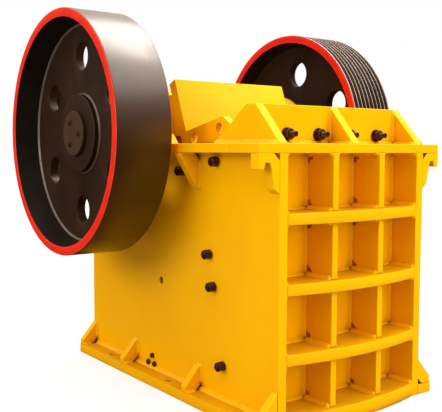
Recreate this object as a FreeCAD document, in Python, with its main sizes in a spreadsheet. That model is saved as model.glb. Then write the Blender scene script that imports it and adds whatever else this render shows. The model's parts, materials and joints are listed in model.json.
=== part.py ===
"""Jaw crusher with a welded plate frame, an eccentric shaft with two big wheels, and a swing jaw.

Frame: millimetres, X along the shaft (flywheel at -X, drive sheave at +X), Y from the feed front (-Y)
to the rear (+Y), Z up. The origin is the centre of the foundation bolt pattern, on the ground.
Every size lives in the spreadsheet "dims", and every piece is bound to its cells.
"""

import FreeCAD, Part
import Sketcher
import math
import os

# alias, value in mm (or a plain number), what it is
DRIVING_SIZES = [
    ("body_length", 2056, "side walls, front edge to rear edge"),
    ("anchor_centre", 940, "front edge to the middle foundation holes"),
    ("body_width", 1100, "across the outer faces of the side walls"),
    ("side_plate", 55, "side wall thickness"),
    ("flange_top", 1490, "height of the top face of the hopper flange"),
    ("flange_plate", 50, "hopper flange thickness"),
    ("flange_reach", 135, "hopper flange overhang past a side wall"),
    ("flange_run", 790, "hopper flange length behind the front edge"),
    ("front_setback", 190, "front wall face behind the front edges of the side walls"),
    ("front_plate", 50, "front wall thickness"),
    ("ear_rise", 207, "ears and hopper front plate above the flange"),
    ("ear_toe", 5, "front edge to the front foot of an ear"),
    ("ear_heel", 560, "front edge to the rear foot of an ear"),
    ("ear_crown_front", 200, "front edge to the front of an ear's flat crown"),
    ("ear_crown", 80, "length of an ear's flat crown"),
    ("top_gusset_plate", 56, "middle gusset in front of the hopper plate"),
    ("rib_plate", 60, "horizontal rib thickness"),
    ("rib_pitch", 365, "from one horizontal rib down to the next"),
    ("rib_bulge", 60, "how far the curved rib edges bow out past the side walls"),
    ("bottom_rib", 80, "thickness of the lowest horizontal rib"),
    ("stiffener_plate", 40, "vertical stiffener thickness"),
    ("stiffener_place", 177.5, "vertical stiffener centre to the middle plane"),
    ("stiffener_reach", 210, "front stiffener depth from the front wall"),
    ("cope", 38, "corner notch that clears the weld"),
    ("base_reach", 112, "base plate past a side wall"),
    ("base_plate", 60, "base plate thickness"),
    ("base_gusset_plate", 48, "base gusset thickness"),
    ("base_gusset_rise", 160, "base gusset height above the base plate"),
    ("base_gusset_tip", 34, "base gusset height at its outer edge"),
    ("end_gusset_inset", 4, "end base gusset face to the end of the side wall"),
    ("second_gusset", 684, "front edge to the second base gusset"),
    ("third_gusset", 1416, "front edge to the third base gusset"),
    ("anchor_place", 610, "foundation hole to the middle plane"),
    ("anchor_run", 1440, "front to rear foundation holes"),
    ("anchor_hole", 50, "foundation hole diameter"),
    ("front_knee_plate", 68, "front gusset under the hopper flange"),
    ("front_knee_drop", 206, "its height"),
    ("front_knee_foot", 34, "its width at the foot"),
    ("front_knee_foot_rise", 24, "height of the foot's slant"),
    ("rear_knee_plate", 55, "rear gusset under the hopper flange"),
    ("rear_knee_place", 700, "front edge to the rear gusset"),
    ("rear_knee_drop", 220, "its height"),
    ("rear_knee_foot", 28, "its width at the foot"),
    ("rear_knee_foot_rise", 30, "height of the foot's slant"),
    ("rear_knee_nose", 23, "height of its outer edge"),
    ("knee_tab", 32, "width of the front gusset's outer tab"),
    ("knee_tab_drop", 80, "height of that tab"),
    ("knee_notch", 48, "width of the notch beside the tab"),
    ("knee_notch_top", 26, "width of the notch at its top"),
    ("knee_notch_rise", 32, "height of the notch"),
    ("cheek_plate", 45, "cheek plate thickness"),
    ("cheek_foot", 700, "height of the cheek plate's lower edge"),
    ("cheek_back", 18, "jaw face to the cheek plate's rear edge, at the flange"),
    ("cheek_shoulder", 50, "jaw face to the rear end of the cheek plate's sloping top"),
    ("cheek_shoulder_rise", 76, "height of that end above the flange"),
    ("cheek_crest_drop", 54, "cheek plate's crest below the ear's crown"),
    ("cheek_crest_run", 68, "length of the short slope in front of the crest"),
    ("cheek_crest_fall", 40, "drop of that slope"),
    ("cheek_hole", 70, "lifting hole in a cheek plate"),
    ("front_hole_run", 35, "ear's heel to the front lifting hole"),
    ("front_hole_rise", 83, "front lifting hole above the flange"),
    ("rear_hole_run", 284, "ear's heel to the rear lifting hole"),
    ("rear_hole_rise", 35, "rear lifting hole above the flange"),
    ("spare_hole", 46, "plain hole through a side wall"),
    ("spare_hole_run", 1130, "front edge to that hole"),
    ("spare_hole_height", 640, "height of that hole"),
    ("fixed_jaw", 100, "fixed jaw plate thickness"),
    ("fixed_jaw_drop", 35, "fixed jaw plate's top below the flange's top"),
    ("plug_gap", 5, "gap between a jaw plate and a cheek plate"),
    ("shaft_place", 1464, "front edge to the shaft axis"),
    ("shaft_rise", 64, "shaft axis above the flange's top"),
    ("throw", 15, "eccentric throw"),
    ("journal", 220, "main journal diameter"),
    ("eccentric_step", 10, "least radial step from a main journal to the eccentric"),
    ("seat_step", 10, "radial step from a main journal down to a wheel seat"),
    ("fit_gap", 0.2, "radial gap of a seat on one body"),
    ("running_gap", 0.3, "radial gap of a turning fit"),
    ("housing_wall", 140, "main journal to the outside of the housing's spigot"),
    ("housing_flange", 45, "radial step from the spigot to the housing's barrel"),
    ("housing_reach", 155, "housing length past a side wall"),
    ("saddle_margin", 105, "raised wall top past each side of a housing"),
    ("saddle_ramp", 60, "length of the slope up to that top"),
    ("rear_corner", 1200, "height of the side wall's rear edge"),
    ("wheel", 1500, "flywheel and sheave outside diameter"),
    ("flywheel_face", 350, "flywheel rim width"),
    ("sheave_face", 350, "sheave rim width"),
    ("flywheel_gap", 25, "end of a housing to the flywheel rim"),
    ("sheave_gap", 38, "end of a housing to the sheave rim"),
    ("rim_depth", 54, "rim thickness at its mouth"),
    ("rim_draft", 22, "extra rim thickness at the web"),
    ("flywheel_inset", 127, "inner side of the flywheel rim to its web"),
    ("sheave_inset", 137, "inner side of the sheave rim to its web"),
    ("web_plate", 60, "web thickness"),
    ("flywheel_hole", 172, "flywheel web hole diameter"),
    ("sheave_hole", 187, "sheave web hole diameter"),
    ("web_hole_ring", 950, "web hole circle diameter"),
    ("hub_wall", 142, "hub thickness round its bore"),
    ("hub_gap", 17, "end of a housing to a hub"),
    ("hub_proud", 37, "outer end of a hub past the web"),
    ("end_cap", 276, "shaft end cap diameter"),
    ("end_cap_plate", 26, "shaft end cap thickness"),
    ("groove_pitch", 37, "distance between belt grooves"),
    ("groove_depth", 26, "belt groove depth"),
    ("groove_floor", 12, "width of a belt groove's floor"),
    ("groove_land", 5, "width of the land between two belt grooves"),
    ("jaw_foot", 391, "front edge to the jaw face plane at ground level"),
    ("jaw_lean", 0.395, "backward run of the jaw face per unit of height"),
    ("jaw_bottom", 190, "height of the moving jaw plate's lower edge"),
    ("jaw_top_drop", 90, "moving jaw plate's upper edge below the flange's top"),
    ("moving_jaw", 90, "moving jaw plate, front to back"),
    ("jaw_side_gap", 10, "gap between the swing jaw and a cheek plate"),
    ("jaw_barrel_wall", 175, "swing jaw barrel thickness round its bore"),
    ("jaw_barrel_gap", 15, "gap between the barrel and a side wall"),
    ("jaw_toe", 216, "swing jaw depth at its toe"),
    ("jaw_spine", 62, "shaft axis to the casting's rear plane under the barrel"),
    ("guard_rise", 405, "guard plate's upper edge above the flange's top"),
    ("guard_plate", 75, "guard plate, front to back"),
    ("guard_rib", 45, "guard end rib thickness"),
    ("guard_rib_rise", 260, "guard end rib above the eccentric's axis"),
    ("guard_rib_foot", 186, "shaft axis to the rib's lower end"),
    ("guard_rib_head", 74, "shaft axis to the rib's upper end"),
    ("toggle_low", 440, "height of the toggle plate's jaw end"),
    ("toggle_high", 640, "height of the toggle plate's beam end"),
    ("toggle_plate", 70, "toggle plate thickness"),
    ("toggle_half", 380, "half width of the toggle plate"),
    ("toggle_gap", 24, "free gap at the toggle plate's jaw end"),
    ("jaw_back", 360, "swing jaw depth at the toggle seat"),
    ("toggle_beam_depth", 430, "toggle beam, front to back"),
    ("toggle_beam_rise", 260, "toggle beam height"),
    ("rear_setback", 120, "rear wall face in front of the side walls' rear edges"),
    ("rear_plate", 50, "rear wall thickness"),
    ("rod", 60, "tension rod diameter"),
    ("rod_height", 220, "tension rod above the ground"),
    ("rod_place", 336, "tension rod to the middle plane"),
    ("rod_front", 820, "front edge to the tension rod's front end"),
    ("spring", 130, "tension spring outside diameter"),
    ("spring_run", 170, "tension spring length"),
    ("spring_washer", 20, "thickness of the washers at the spring"),
    ("rod_nut", 95, "tension rod nut, across corners"),
    ("rod_nut_run", 50, "tension rod nut length"),
]

WEB_HOLES = 6
GROOVES = 9
RIB_ROWS = 3
NUT_SIDES = 6

doc = FreeCAD.newDocument("jaw_crusher")


def expression_of(value):
    """The expression text of a Size, or of a plain number."""
    return value.text if isinstance(value, Size) else repr(value)


class Size(float):
    """A number that also carries the spreadsheet expression it comes from."""

    def __new__(cls, number, text):
        size = super().__new__(cls, number)
        size.text = text
        return size

    def __neg__(self):
        return Size(-float(self), f"(-{self.text})")

    def __add__(self, other):
        return Size(float(self) + float(other), f"({self.text} + {expression_of(other)})")

    def __radd__(self, other):
        return Size(float(other) + float(self), f"({expression_of(other)} + {self.text})")

    def __sub__(self, other):
        return Size(float(self) - float(other), f"({self.text} - {expression_of(other)})")

    def __rsub__(self, other):
        return Size(float(other) - float(self), f"({expression_of(other)} - {self.text})")

    def __mul__(self, other):
        return Size(float(self) * float(other), f"({self.text} * {expression_of(other)})")

    def __rmul__(self, other):
        return Size(float(other) * float(self), f"({expression_of(other)} * {self.text})")

    def __truediv__(self, other):
        return Size(float(self) / float(other), f"({self.text} / {expression_of(other)})")

    def root(self):
        return Size(math.sqrt(self), f"sqrt({self.text})")


class Dims:
    """The spreadsheet's cells, read by their aliases."""


def fill_sheet():
    sheet = doc.addObject("Spreadsheet::Sheet", "dims")
    for row, (alias, value, meaning) in enumerate(DRIVING_SIZES, 1):
        sheet.set(f"A{row}", meaning)
        sheet.set(f"B{row}", str(value))
        sheet.setAlias(f"B{row}", alias)
    doc.recompute()
    dims = Dims()
    for alias, value, meaning in DRIVING_SIZES:
        setattr(dims, alias, Size(sheet.get(alias), f"dims.{alias}"))
    return dims


d = fill_sheet()
pieces = []

# Levels and planes that several pieces share
GROUND = Size(0, "0")
FRONT = -d.anchor_centre
REAR = FRONT + d.body_length
WALL_OUTER = d.body_width / 2
WALL_INNER = WALL_OUTER - d.side_plate
FLANGE_EDGE = WALL_OUTER + d.flange_reach
FLANGE_UNDER = d.flange_top - d.flange_plate
FRONT_FACE = FRONT + d.front_setback
FRONT_BACK = FRONT_FACE + d.front_plate
REAR_FACE = REAR - d.rear_setback
REAR_INNER = REAR_FACE - d.rear_plate
CHEEK_INNER = WALL_INNER - d.cheek_plate
JAW_HALF = CHEEK_INNER - d.jaw_side_gap
JAW_TOP = d.flange_top - d.jaw_top_drop
HOPPER_TOP = d.flange_top + d.ear_rise
GUARD_TOP = d.flange_top + d.guard_rise
SHAFT_Y = FRONT + d.shaft_place
SHAFT_Z = d.flange_top + d.shaft_rise
ECCENTRIC = d.journal + 2 * (d.throw + d.eccentric_step)
WHEEL_SEAT = d.journal - 2 * d.seat_step
SPIGOT = d.journal + 2 * d.housing_wall
HOUSING = SPIGOT + 2 * d.housing_flange
HOUSING_END = WALL_OUTER + d.housing_reach
JAW_BARREL = ECCENTRIC + 2 * d.jaw_barrel_wall
HUB = WHEEL_SEAT + 2 * d.hub_wall
HUB_INNER = HOUSING_END + d.hub_gap
ECCENTRIC_Z = SHAFT_Z - d.throw
LEFT, RIGHT = -1, 1
SIDES = ((LEFT, "left"), (RIGHT, "right"))
RIM_INNER = {LEFT: HOUSING_END + d.flywheel_gap, RIGHT: HOUSING_END + d.sheave_gap}
RIM_OUTER = {LEFT: RIM_INNER[LEFT] + d.flywheel_face, RIGHT: RIM_INNER[RIGHT] + d.sheave_face}
WEB_INNER = {LEFT: RIM_INNER[LEFT] + d.flywheel_inset, RIGHT: RIM_INNER[RIGHT] + d.sheave_inset}
WEB_OUTER = {side: WEB_INNER[side] + d.web_plate for side in (LEFT, RIGHT)}
HUB_OUTER = {side: WEB_OUTER[side] + d.hub_proud for side in (LEFT, RIGHT)}
RIB_LEVELS = [(GROUND, d.bottom_rib)]
for row in range(RIB_ROWS, 0, -1):
    level = FLANGE_UNDER - row * d.rib_pitch
    RIB_LEVELS.append((level, level + d.rib_plate))


def bind(thing, prop, value):
    thing.setExpression(prop, expression_of(value))


def piece(node, thing):
    """Names an object as one sub-part of the crusher."""
    thing.Label = node
    pieces.append(thing)
    return thing


def sided(side, inner, outer):
    """The (low, high) pair of a span that is mirrored to one side of the middle plane."""
    return (inner, outer) if side == RIGHT else (-outer, -inner)


def box(name, x, y, z):
    """A block between (low, high) pairs."""
    block = doc.addObject("Part::Box", name)
    for prop, (low, high) in zip(("Length", "Width", "Height"), (x, y, z)):
        bind(block, prop, high - low)
    for axis, (low, high) in zip("xyz", (x, y, z)):
        bind(block, f"Placement.Base.{axis}", low)
    return block


TURNS = {
    "x": FreeCAD.Rotation(FreeCAD.Vector(0, 1, 0), 90),
    "y": FreeCAD.Rotation(FreeCAD.Vector(1, 0, 0), -90),
    "z": FreeCAD.Rotation(),
}


def place(thing, axis, start):
    """Stands a Z-built primitive along an axis, from a start point."""
    thing.Placement = FreeCAD.Placement(FreeCAD.Vector(), TURNS[axis])
    for letter, value in zip("xyz", start):
        bind(thing, f"Placement.Base.{letter}", value)
    return thing


def cylinder(name, axis, diameter, span, centre):
    """A round bar along an axis; centre gives the other two coordinates in X, Y, Z order."""
    bar = doc.addObject("Part::Cylinder", name)
    bind(bar, "Radius", diameter / 2)
    bind(bar, "Height", span[1] - span[0])
    start = list(centre)
    start.insert("xyz".index(axis), span[0])
    return place(bar, axis, start)


def joined(kind, name, parts):
    result = doc.addObject(kind, name)
    result.Shapes = parts
    return result


def fuse(name, *parts):
    return joined("Part::MultiFuse", name, list(parts))


def common(name, *parts):
    return joined("Part::MultiCommon", name, list(parts))


def group(name, parts):
    """Like pieces that don't touch, kept as one compound."""
    result = doc.addObject("Part::Compound", name)
    result.Links = parts
    return result


def cut(name, base, *tools):
    result = doc.addObject("Part::Cut", name)
    result.Base = base
    result.Tool = tools[0] if len(tools) == 1 else group(f"{name}_tools", list(tools))
    return result


def origin_feature(body, role):
    for feature in body.Origin.OriginFeatures:
        if feature.Role == role:
            return feature


def outline(body, name, plane, offset, corners):
    """A closed sketch of straight edges; each corner is held by two bound distances."""
    sketch = body.newObject("Sketcher::SketchObject", name)
    sketch.AttachmentSupport = (origin_feature(body, plane), [""])
    sketch.MapMode = "FlatFace"
    bind(sketch, "AttachmentOffset.Base.z", offset)
    points = [FreeCAD.Vector(float(across), float(up), 0) for across, up in corners]
    count = len(points)
    for index in range(count):
        sketch.addGeometry(Part.LineSegment(points[index], points[(index + 1) % count]), False)
    for index in range(count):
        sketch.addConstraint(Sketcher.Constraint("Coincident", index, 2, (index + 1) % count, 1))
    for index, (across, up) in enumerate(corners):
        for kind, value in (("DistanceX", across), ("DistanceY", up)):
            held = sketch.addConstraint(Sketcher.Constraint(kind, -1, 1, index, 1, float(value)))
            bind(sketch, f"Constraints[{held}]", value)
    return sketch


def prism(name, axis, span, corners):
    """A plate of any outline. Corners are (Y, Z) for a plate along X, (X, Z) for one along Y."""
    low, high = span
    body = doc.addObject("PartDesign::Body", name)
    plane, offset = ("YZ_Plane", low) if axis == "x" else ("XZ_Plane", -high)
    sketch = outline(body, f"{name}_outline", plane, offset, corners)
    pad = body.newObject("PartDesign::Pad", f"{name}_pad")
    pad.Profile = sketch
    bind(pad, "Length", high - low)
    return body


def turned(name, corners):
    """A solid of revolution about the shaft axis; corners are (X, radius)."""
    body = doc.addObject("PartDesign::Body", name)
    sketch = outline(body, f"{name}_profile", "XY_Plane", 0.0, corners)
    revolution = body.newObject("PartDesign::Revolution", f"{name}_turning")
    revolution.Profile = sketch
    revolution.ReferenceAxis = (sketch, ["H_Axis"])
    revolution.Angle = 360
    return place(body, "z", (0.0, SHAFT_Y, SHAFT_Z))


def tube(name, span, inner, outer):
    """A plain ring on the shaft axis, given by its diameters."""
    low, high = span
    return turned(name, [(low, inner / 2), (high, inner / 2), (high, outer / 2), (low, outer / 2)])


# ---- welded frame ---------------------------------------------------------------------------------


def side_wall(side, word):
    """Cut low under the front flange, then level with it, and raised to the shaft axis behind."""
    saddle_half = HOUSING / 2 + d.saddle_margin
    saddle_front, saddle_rear = SHAFT_Y - saddle_half, SHAFT_Y + saddle_half
    plate = prism(f"side_plate_{word}", "x", sided(side, WALL_INNER, WALL_OUTER), [
        (FRONT, GROUND),
        (REAR, GROUND),
        (REAR, d.rear_corner),
        (saddle_rear, SHAFT_Z),
        (saddle_front, SHAFT_Z),
        (saddle_front - d.saddle_ramp, d.flange_top),
        (FRONT_BACK, d.flange_top),
        (FRONT_BACK, FLANGE_UNDER),
        (FRONT, FLANGE_UNDER),
    ])
    span = sided(side, WALL_INNER, WALL_OUTER)
    seat = cylinder(f"housing_seat_{word}", "x", SPIGOT + 2 * d.fit_gap, span, (SHAFT_Y, SHAFT_Z))
    hole = cylinder(f"spare_hole_{word}", "x", d.spare_hole, span,
                    (FRONT + d.spare_hole_run, d.spare_hole_height))
    piece(f"side_wall_{word}", cut(f"side_wall_{word}", plate, seat, hole))


def bowed_rib(node, level):
    """A horizontal rib whose front edge is an arc from wall to wall."""
    crown = FRONT - d.rib_bulge
    radius = (WALL_INNER * WALL_INNER + d.rib_bulge * d.rib_bulge) / (2 * d.rib_bulge)
    blank = box(f"{node}_blank", (-WALL_INNER, WALL_INNER), (crown, FRONT_FACE), level)
    disc = cylinder(f"{node}_bow", "z", 2 * radius, level, (0.0, crown + radius))
    piece(node, common(node, blank, disc))


def front_stiffener(side, word, row, low, high):
    """One vertical plate between two ribs, with weld notches at the front wall."""
    centre = side * d.stiffener_place
    half = d.stiffener_plate / 2
    edge = FRONT_FACE - d.stiffener_reach
    return prism(f"front_stiffener_{word}_{row}", "x", (centre - half, centre + half), [
        (edge, low),
        (FRONT_FACE - d.cope, low),
        (FRONT_FACE, low + d.cope),
        (FRONT_FACE, high - d.cope),
        (FRONT_FACE - d.cope, high),
        (edge, high),
    ])


def front():
    piece("front_wall", box("front_wall", (-WALL_INNER, WALL_INNER), (FRONT_FACE, FRONT_BACK),
                            (GROUND, FLANGE_UNDER)))
    for node, level in zip(("bottom", "lower", "middle", "upper"), RIB_LEVELS):
        bowed_rib(f"front_rib_{node}", level)
    tops = [high for low, high in RIB_LEVELS]
    undersides = [low for low, high in RIB_LEVELS[1:]] + [FLANGE_UNDER]
    for side, word in SIDES:
        column = [front_stiffener(side, word, row, low, high)
                  for row, (low, high) in enumerate(zip(tops, undersides))]
        piece(f"front_stiffeners_{word}", group(f"front_stiffeners_{word}", column))


def hopper():
    """The flange round the feed mouth, and the ears and plate that stand on it."""
    flange = (FLANGE_UNDER, d.flange_top)
    piece("hopper_flange_front", box("hopper_flange_front", (-FLANGE_EDGE, FLANGE_EDGE),
                                     (FRONT, FRONT_BACK), flange))
    piece("hopper_front_plate", box("hopper_front_plate", (-WALL_INNER, WALL_INNER),
                                    (FRONT_FACE, FRONT_BACK), (d.flange_top, HOPPER_TOP)))
    crown_front = FRONT + d.ear_crown_front
    for side, word in SIDES:
        piece(f"hopper_flange_{word}", box(f"hopper_flange_{word}",
                                           sided(side, WALL_OUTER, FLANGE_EDGE),
                                           (FRONT_BACK, FRONT + d.flange_run), flange))
        piece(f"hopper_ear_{word}", prism(f"hopper_ear_{word}", "x",
                                          sided(side, WALL_INNER, WALL_OUTER), [
            (FRONT + d.ear_toe, d.flange_top),
            (FRONT + d.ear_heel, d.flange_top),
            (crown_front + d.ear_crown, HOPPER_TOP),
            (crown_front, HOPPER_TOP),
        ]))
    half = d.top_gusset_plate / 2
    piece("hopper_middle_gusset", prism("hopper_middle_gusset", "x", (-half, half), [
        (FRONT + d.ear_toe, d.flange_top),
        (FRONT_FACE, d.flange_top),
        (FRONT_FACE, HOPPER_TOP),
    ]))


def front_knee(side, word):
    """The corner gusset under the flange: an outer tab, a notch, then a slope down to the wall."""
    tab_inner = FLANGE_EDGE - d.knee_tab
    notch_inner = tab_inner - d.knee_notch
    notch_slant = (d.knee_notch - d.knee_notch_top) / 2
    tab_foot = FLANGE_UNDER - d.knee_tab_drop
    notch_top = tab_foot + d.knee_notch_rise
    foot = FLANGE_UNDER - d.front_knee_drop
    corners = [
        (WALL_OUTER, foot),
        (WALL_OUTER + d.front_knee_foot, foot + d.front_knee_foot_rise),
        (notch_inner, tab_foot),
        (notch_inner + notch_slant, notch_top),
        (tab_inner - notch_slant, notch_top),
        (tab_inner, tab_foot),
        (FLANGE_EDGE, tab_foot),
        (FLANGE_EDGE, FLANGE_UNDER),
        (WALL_OUTER + d.cope, FLANGE_UNDER),
        (WALL_OUTER, FLANGE_UNDER - d.cope),
    ]
    return prism(f"front_knee_{word}", "y", (FRONT, FRONT + d.front_knee_plate),
                 [(side * across, up) for across, up in corners])


def rear_knee(side, word):
    start = FRONT + d.rear_knee_place
    foot = FLANGE_UNDER - d.rear_knee_drop
    corners = [
        (WALL_OUTER, foot),
        (WALL_OUTER + d.rear_knee_foot, foot + d.rear_knee_foot_rise),
        (FLANGE_EDGE, FLANGE_UNDER - d.rear_knee_nose),
        (FLANGE_EDGE, FLANGE_UNDER),
        (WALL_OUTER + d.cope, FLANGE_UNDER),
        (WALL_OUTER, FLANGE_UNDER - d.cope),
    ]
    return prism(f"rear_knee_{word}", "y", (start, start + d.rear_knee_plate),
                 [(side * across, up) for across, up in corners])


def base_gusset(side, name, start):
    """A sloped plate that braces a side wall on its base plate."""
    edge = WALL_OUTER + d.base_reach
    corners = [
        (WALL_OUTER + d.cope, d.base_plate),
        (edge, d.base_plate),
        (edge, d.base_plate + d.base_gusset_tip),
        (WALL_OUTER, d.base_plate + d.base_gusset_rise),
        (WALL_OUTER, d.base_plate + d.cope),
    ]
    return prism(name, "y", (start, start + d.base_gusset_plate),
                 [(side * across, up) for across, up in corners])


def base(side, word):
    plate = box(f"base_blank_{word}", sided(side, WALL_OUTER, WALL_OUTER + d.base_reach),
                (FRONT, REAR), (GROUND, d.base_plate))
    holes = [cylinder(f"anchor_hole_{word}_{index}", "z", d.anchor_hole, (GROUND, d.base_plate),
                      (side * d.anchor_place, along))
             for index, along in enumerate((-d.anchor_run / 2, 0.0, d.anchor_run / 2))]
    piece(f"base_plate_{word}", cut(f"base_plate_{word}", plate, *holes))
    starts = (FRONT + d.end_gusset_inset, FRONT + d.second_gusset, FRONT + d.third_gusset,
              REAR - d.end_gusset_inset - d.base_gusset_plate)
    row = [base_gusset(side, f"base_gusset_{word}_{index}", start) for index, start in enumerate(starts)]
    piece(f"base_gussets_{word}", group(f"base_gussets_{word}", row))


def rear():
    """The rear wall repeats the front's ribs, straight and between the side walls."""
    top = RIB_LEVELS[-1][1]
    wall = box("rear_wall_blank", (-WALL_INNER, WALL_INNER), (REAR_INNER, REAR_FACE),
               (GROUND, top))
    holes = [cylinder(f"rod_hole_{word}", "y", d.rod + 2 * d.fit_gap, (REAR_INNER, REAR_FACE),
                      (side * d.rod_place, d.rod_height)) for side, word in SIDES]
    piece("rear_wall", cut("rear_wall", wall, *holes))
    ribs = [box(f"rear_rib_{row}", (-WALL_INNER, WALL_INNER), (REAR_FACE, REAR), level)
            for row, level in enumerate(RIB_LEVELS)]
    piece("rear_ribs", group("rear_ribs", ribs))
    half = d.stiffener_plate / 2
    plates = []
    for side, word in SIDES:
        centre = side * d.stiffener_place
        for row in range(RIB_ROWS):
            plates.append(box(f"rear_stiffener_{word}_{row}", (centre - half, centre + half),
                              (REAR_FACE, REAR - d.cope), (RIB_LEVELS[row][1], RIB_LEVELS[row + 1][0])))
    piece("rear_stiffeners", group("rear_stiffeners", plates))


# ---- crushing chamber -----------------------------------------------------------------------------


def jaw_face(level):
    """Y of the swing jaw's front plane at a height."""
    return FRONT + d.jaw_foot + d.jaw_lean * level


def cheek(side, word):
    """Wear plate on a side wall; its upper end stands proud of the hopper flange."""
    plate_front = FRONT_BACK + d.fixed_jaw + d.fit_gap
    heel = FRONT + d.ear_heel
    face = jaw_face(d.flange_top)
    crest = HOPPER_TOP - d.cheek_crest_drop
    span = sided(side, CHEEK_INNER, WALL_INNER)
    plate = prism(f"cheek_blank_{word}", "x", span, [
        (plate_front, d.cheek_foot),
        (jaw_face(d.cheek_foot) + d.cheek_plate, d.cheek_foot),
        (face - d.cheek_back, d.flange_top),
        (face - d.cheek_shoulder, d.flange_top + d.cheek_shoulder_rise),
        (heel, crest),
        (heel - d.cheek_crest_run, crest - d.cheek_crest_fall),
        (plate_front, d.flange_top),
    ])
    front_hole = (heel + d.front_hole_run, d.flange_top + d.front_hole_rise)
    rear_hole = (heel + d.rear_hole_run, d.flange_top + d.rear_hole_rise)
    holes = [cylinder(f"cheek_hole_{word}_{index}", "x", d.cheek_hole, span, centre)
             for index, centre in enumerate((front_hole, rear_hole))]
    piece(f"cheek_plate_{word}", cut(f"cheek_plate_{word}", plate, *holes))


def fixed_jaw():
    half = WALL_INNER - d.plug_gap
    piece("fixed_jaw_plate", box("fixed_jaw_plate", (-half, half),
                                 (FRONT_BACK, FRONT_BACK + d.fixed_jaw),
                                 (d.bottom_rib, d.flange_top - d.fixed_jaw_drop)))


def moving_jaw_plate():
    low, high = d.jaw_bottom, JAW_TOP
    half = JAW_HALF
    piece("moving_jaw_plate", prism("moving_jaw_plate", "x", (-half, half), [
        (jaw_face(low), low),
        (jaw_face(low) + d.moving_jaw, low),
        (jaw_face(high) + d.moving_jaw, high),
        (jaw_face(high), high),
    ]))


def swing_jaw():
    """A casting: bearing barrel on the eccentric, body behind the jaw plate, toe under it."""
    low, high = d.jaw_bottom, JAW_TOP
    toe = low - d.moving_jaw
    barrel_low = ECCENTRIC_Z - JAW_BARREL / 2
    body = prism("jaw_casting_body", "x", (-JAW_HALF, JAW_HALF), [
        (jaw_face(toe), toe),
        (jaw_face(toe) + d.jaw_toe, toe),
        (jaw_face(d.toggle_low) + d.jaw_back, d.toggle_low - d.toggle_plate),
        (jaw_face(d.toggle_low) + d.jaw_back, d.toggle_low + d.toggle_plate),
        (SHAFT_Y - d.jaw_spine, barrel_low),
        (SHAFT_Y, ECCENTRIC_Z),
        (jaw_face(high) + d.moving_jaw, high),
        (jaw_face(low) + d.moving_jaw, low),
        (jaw_face(low), low),
    ])
    barrel_half = WALL_INNER - d.jaw_barrel_gap
    barrel = cylinder("jaw_casting_barrel", "x", JAW_BARREL, (-barrel_half, barrel_half),
                      (SHAFT_Y, ECCENTRIC_Z))
    bore = cylinder("jaw_casting_bore", "x", ECCENTRIC + 2 * d.running_gap,
                    (-barrel_half, barrel_half), (SHAFT_Y, ECCENTRIC_Z))
    saddle = cut("jaw_plate_seat", fuse("jaw_casting", body, barrel), bore, guard_space())
    piece("swing_jaw", saddle)


def guard_space():
    """Room that the guard plate takes, cut from the casting so that the two only meet."""
    low, high = JAW_TOP, GUARD_TOP
    return prism("guard_space", "x", (-WALL_INNER, WALL_INNER), [
        (jaw_face(low) - d.jaw_back, low),
        (jaw_face(low) + d.guard_plate, low),
        (jaw_face(high) + d.guard_plate, high),
        (jaw_face(high) - d.jaw_back, high),
    ])


def jaw_guard():
    """A leaning plate above the jaw plate, with an end rib at each side that meets the barrel."""
    low, high = JAW_TOP, GUARD_TOP
    back_high = high - d.guard_plate * d.jaw_lean
    plate = prism("guard_face", "x", (-JAW_HALF, JAW_HALF), [
        (jaw_face(low), low),
        (jaw_face(low) + d.guard_plate, low),
        (jaw_face(back_high) + d.guard_plate, back_high),
        (jaw_face(high), high),
    ])
    barrel_space = cylinder("guard_barrel_space", "x", JAW_BARREL + 2 * d.fit_gap,
                            (-JAW_HALF, JAW_HALF), (SHAFT_Y, ECCENTRIC_Z))
    rib_top = ECCENTRIC_Z + d.guard_rib_rise
    ribs = []
    for side, word in SIDES:
        ribs.append(prism(f"guard_rib_{word}", "x", sided(side, JAW_HALF - d.guard_rib, JAW_HALF), [
            (jaw_face(ECCENTRIC_Z) + d.guard_plate, ECCENTRIC_Z),
            (SHAFT_Y - d.guard_rib_foot, ECCENTRIC_Z),
            (SHAFT_Y - d.guard_rib_head, rib_top),
            (jaw_face(rib_top) + d.guard_plate, rib_top),
        ]))
    piece("jaw_guard_plate", cut("jaw_guard_plate", fuse("guard_welded", plate, *ribs), barrel_space))


def toggle():
    """The toggle plate leans on a beam between the walls; its jaw end is left free."""
    beam_front = REAR_INNER - d.toggle_beam_depth
    half_rise = d.toggle_beam_rise / 2
    piece("toggle_beam", box("toggle_beam", (-WALL_INNER, WALL_INNER), (beam_front, REAR_INNER),
                             (d.toggle_high - half_rise, d.toggle_high + half_rise)))
    jaw_end = jaw_face(d.toggle_low) + d.jaw_back + d.toggle_gap
    half = d.toggle_plate / 2
    piece("toggle_plate", prism("toggle_plate", "x", (-d.toggle_half, d.toggle_half), [
        (jaw_end, d.toggle_low - half),
        (beam_front, d.toggle_high - half),
        (beam_front, d.toggle_high + half),
        (jaw_end, d.toggle_low + half),
    ]))


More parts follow.
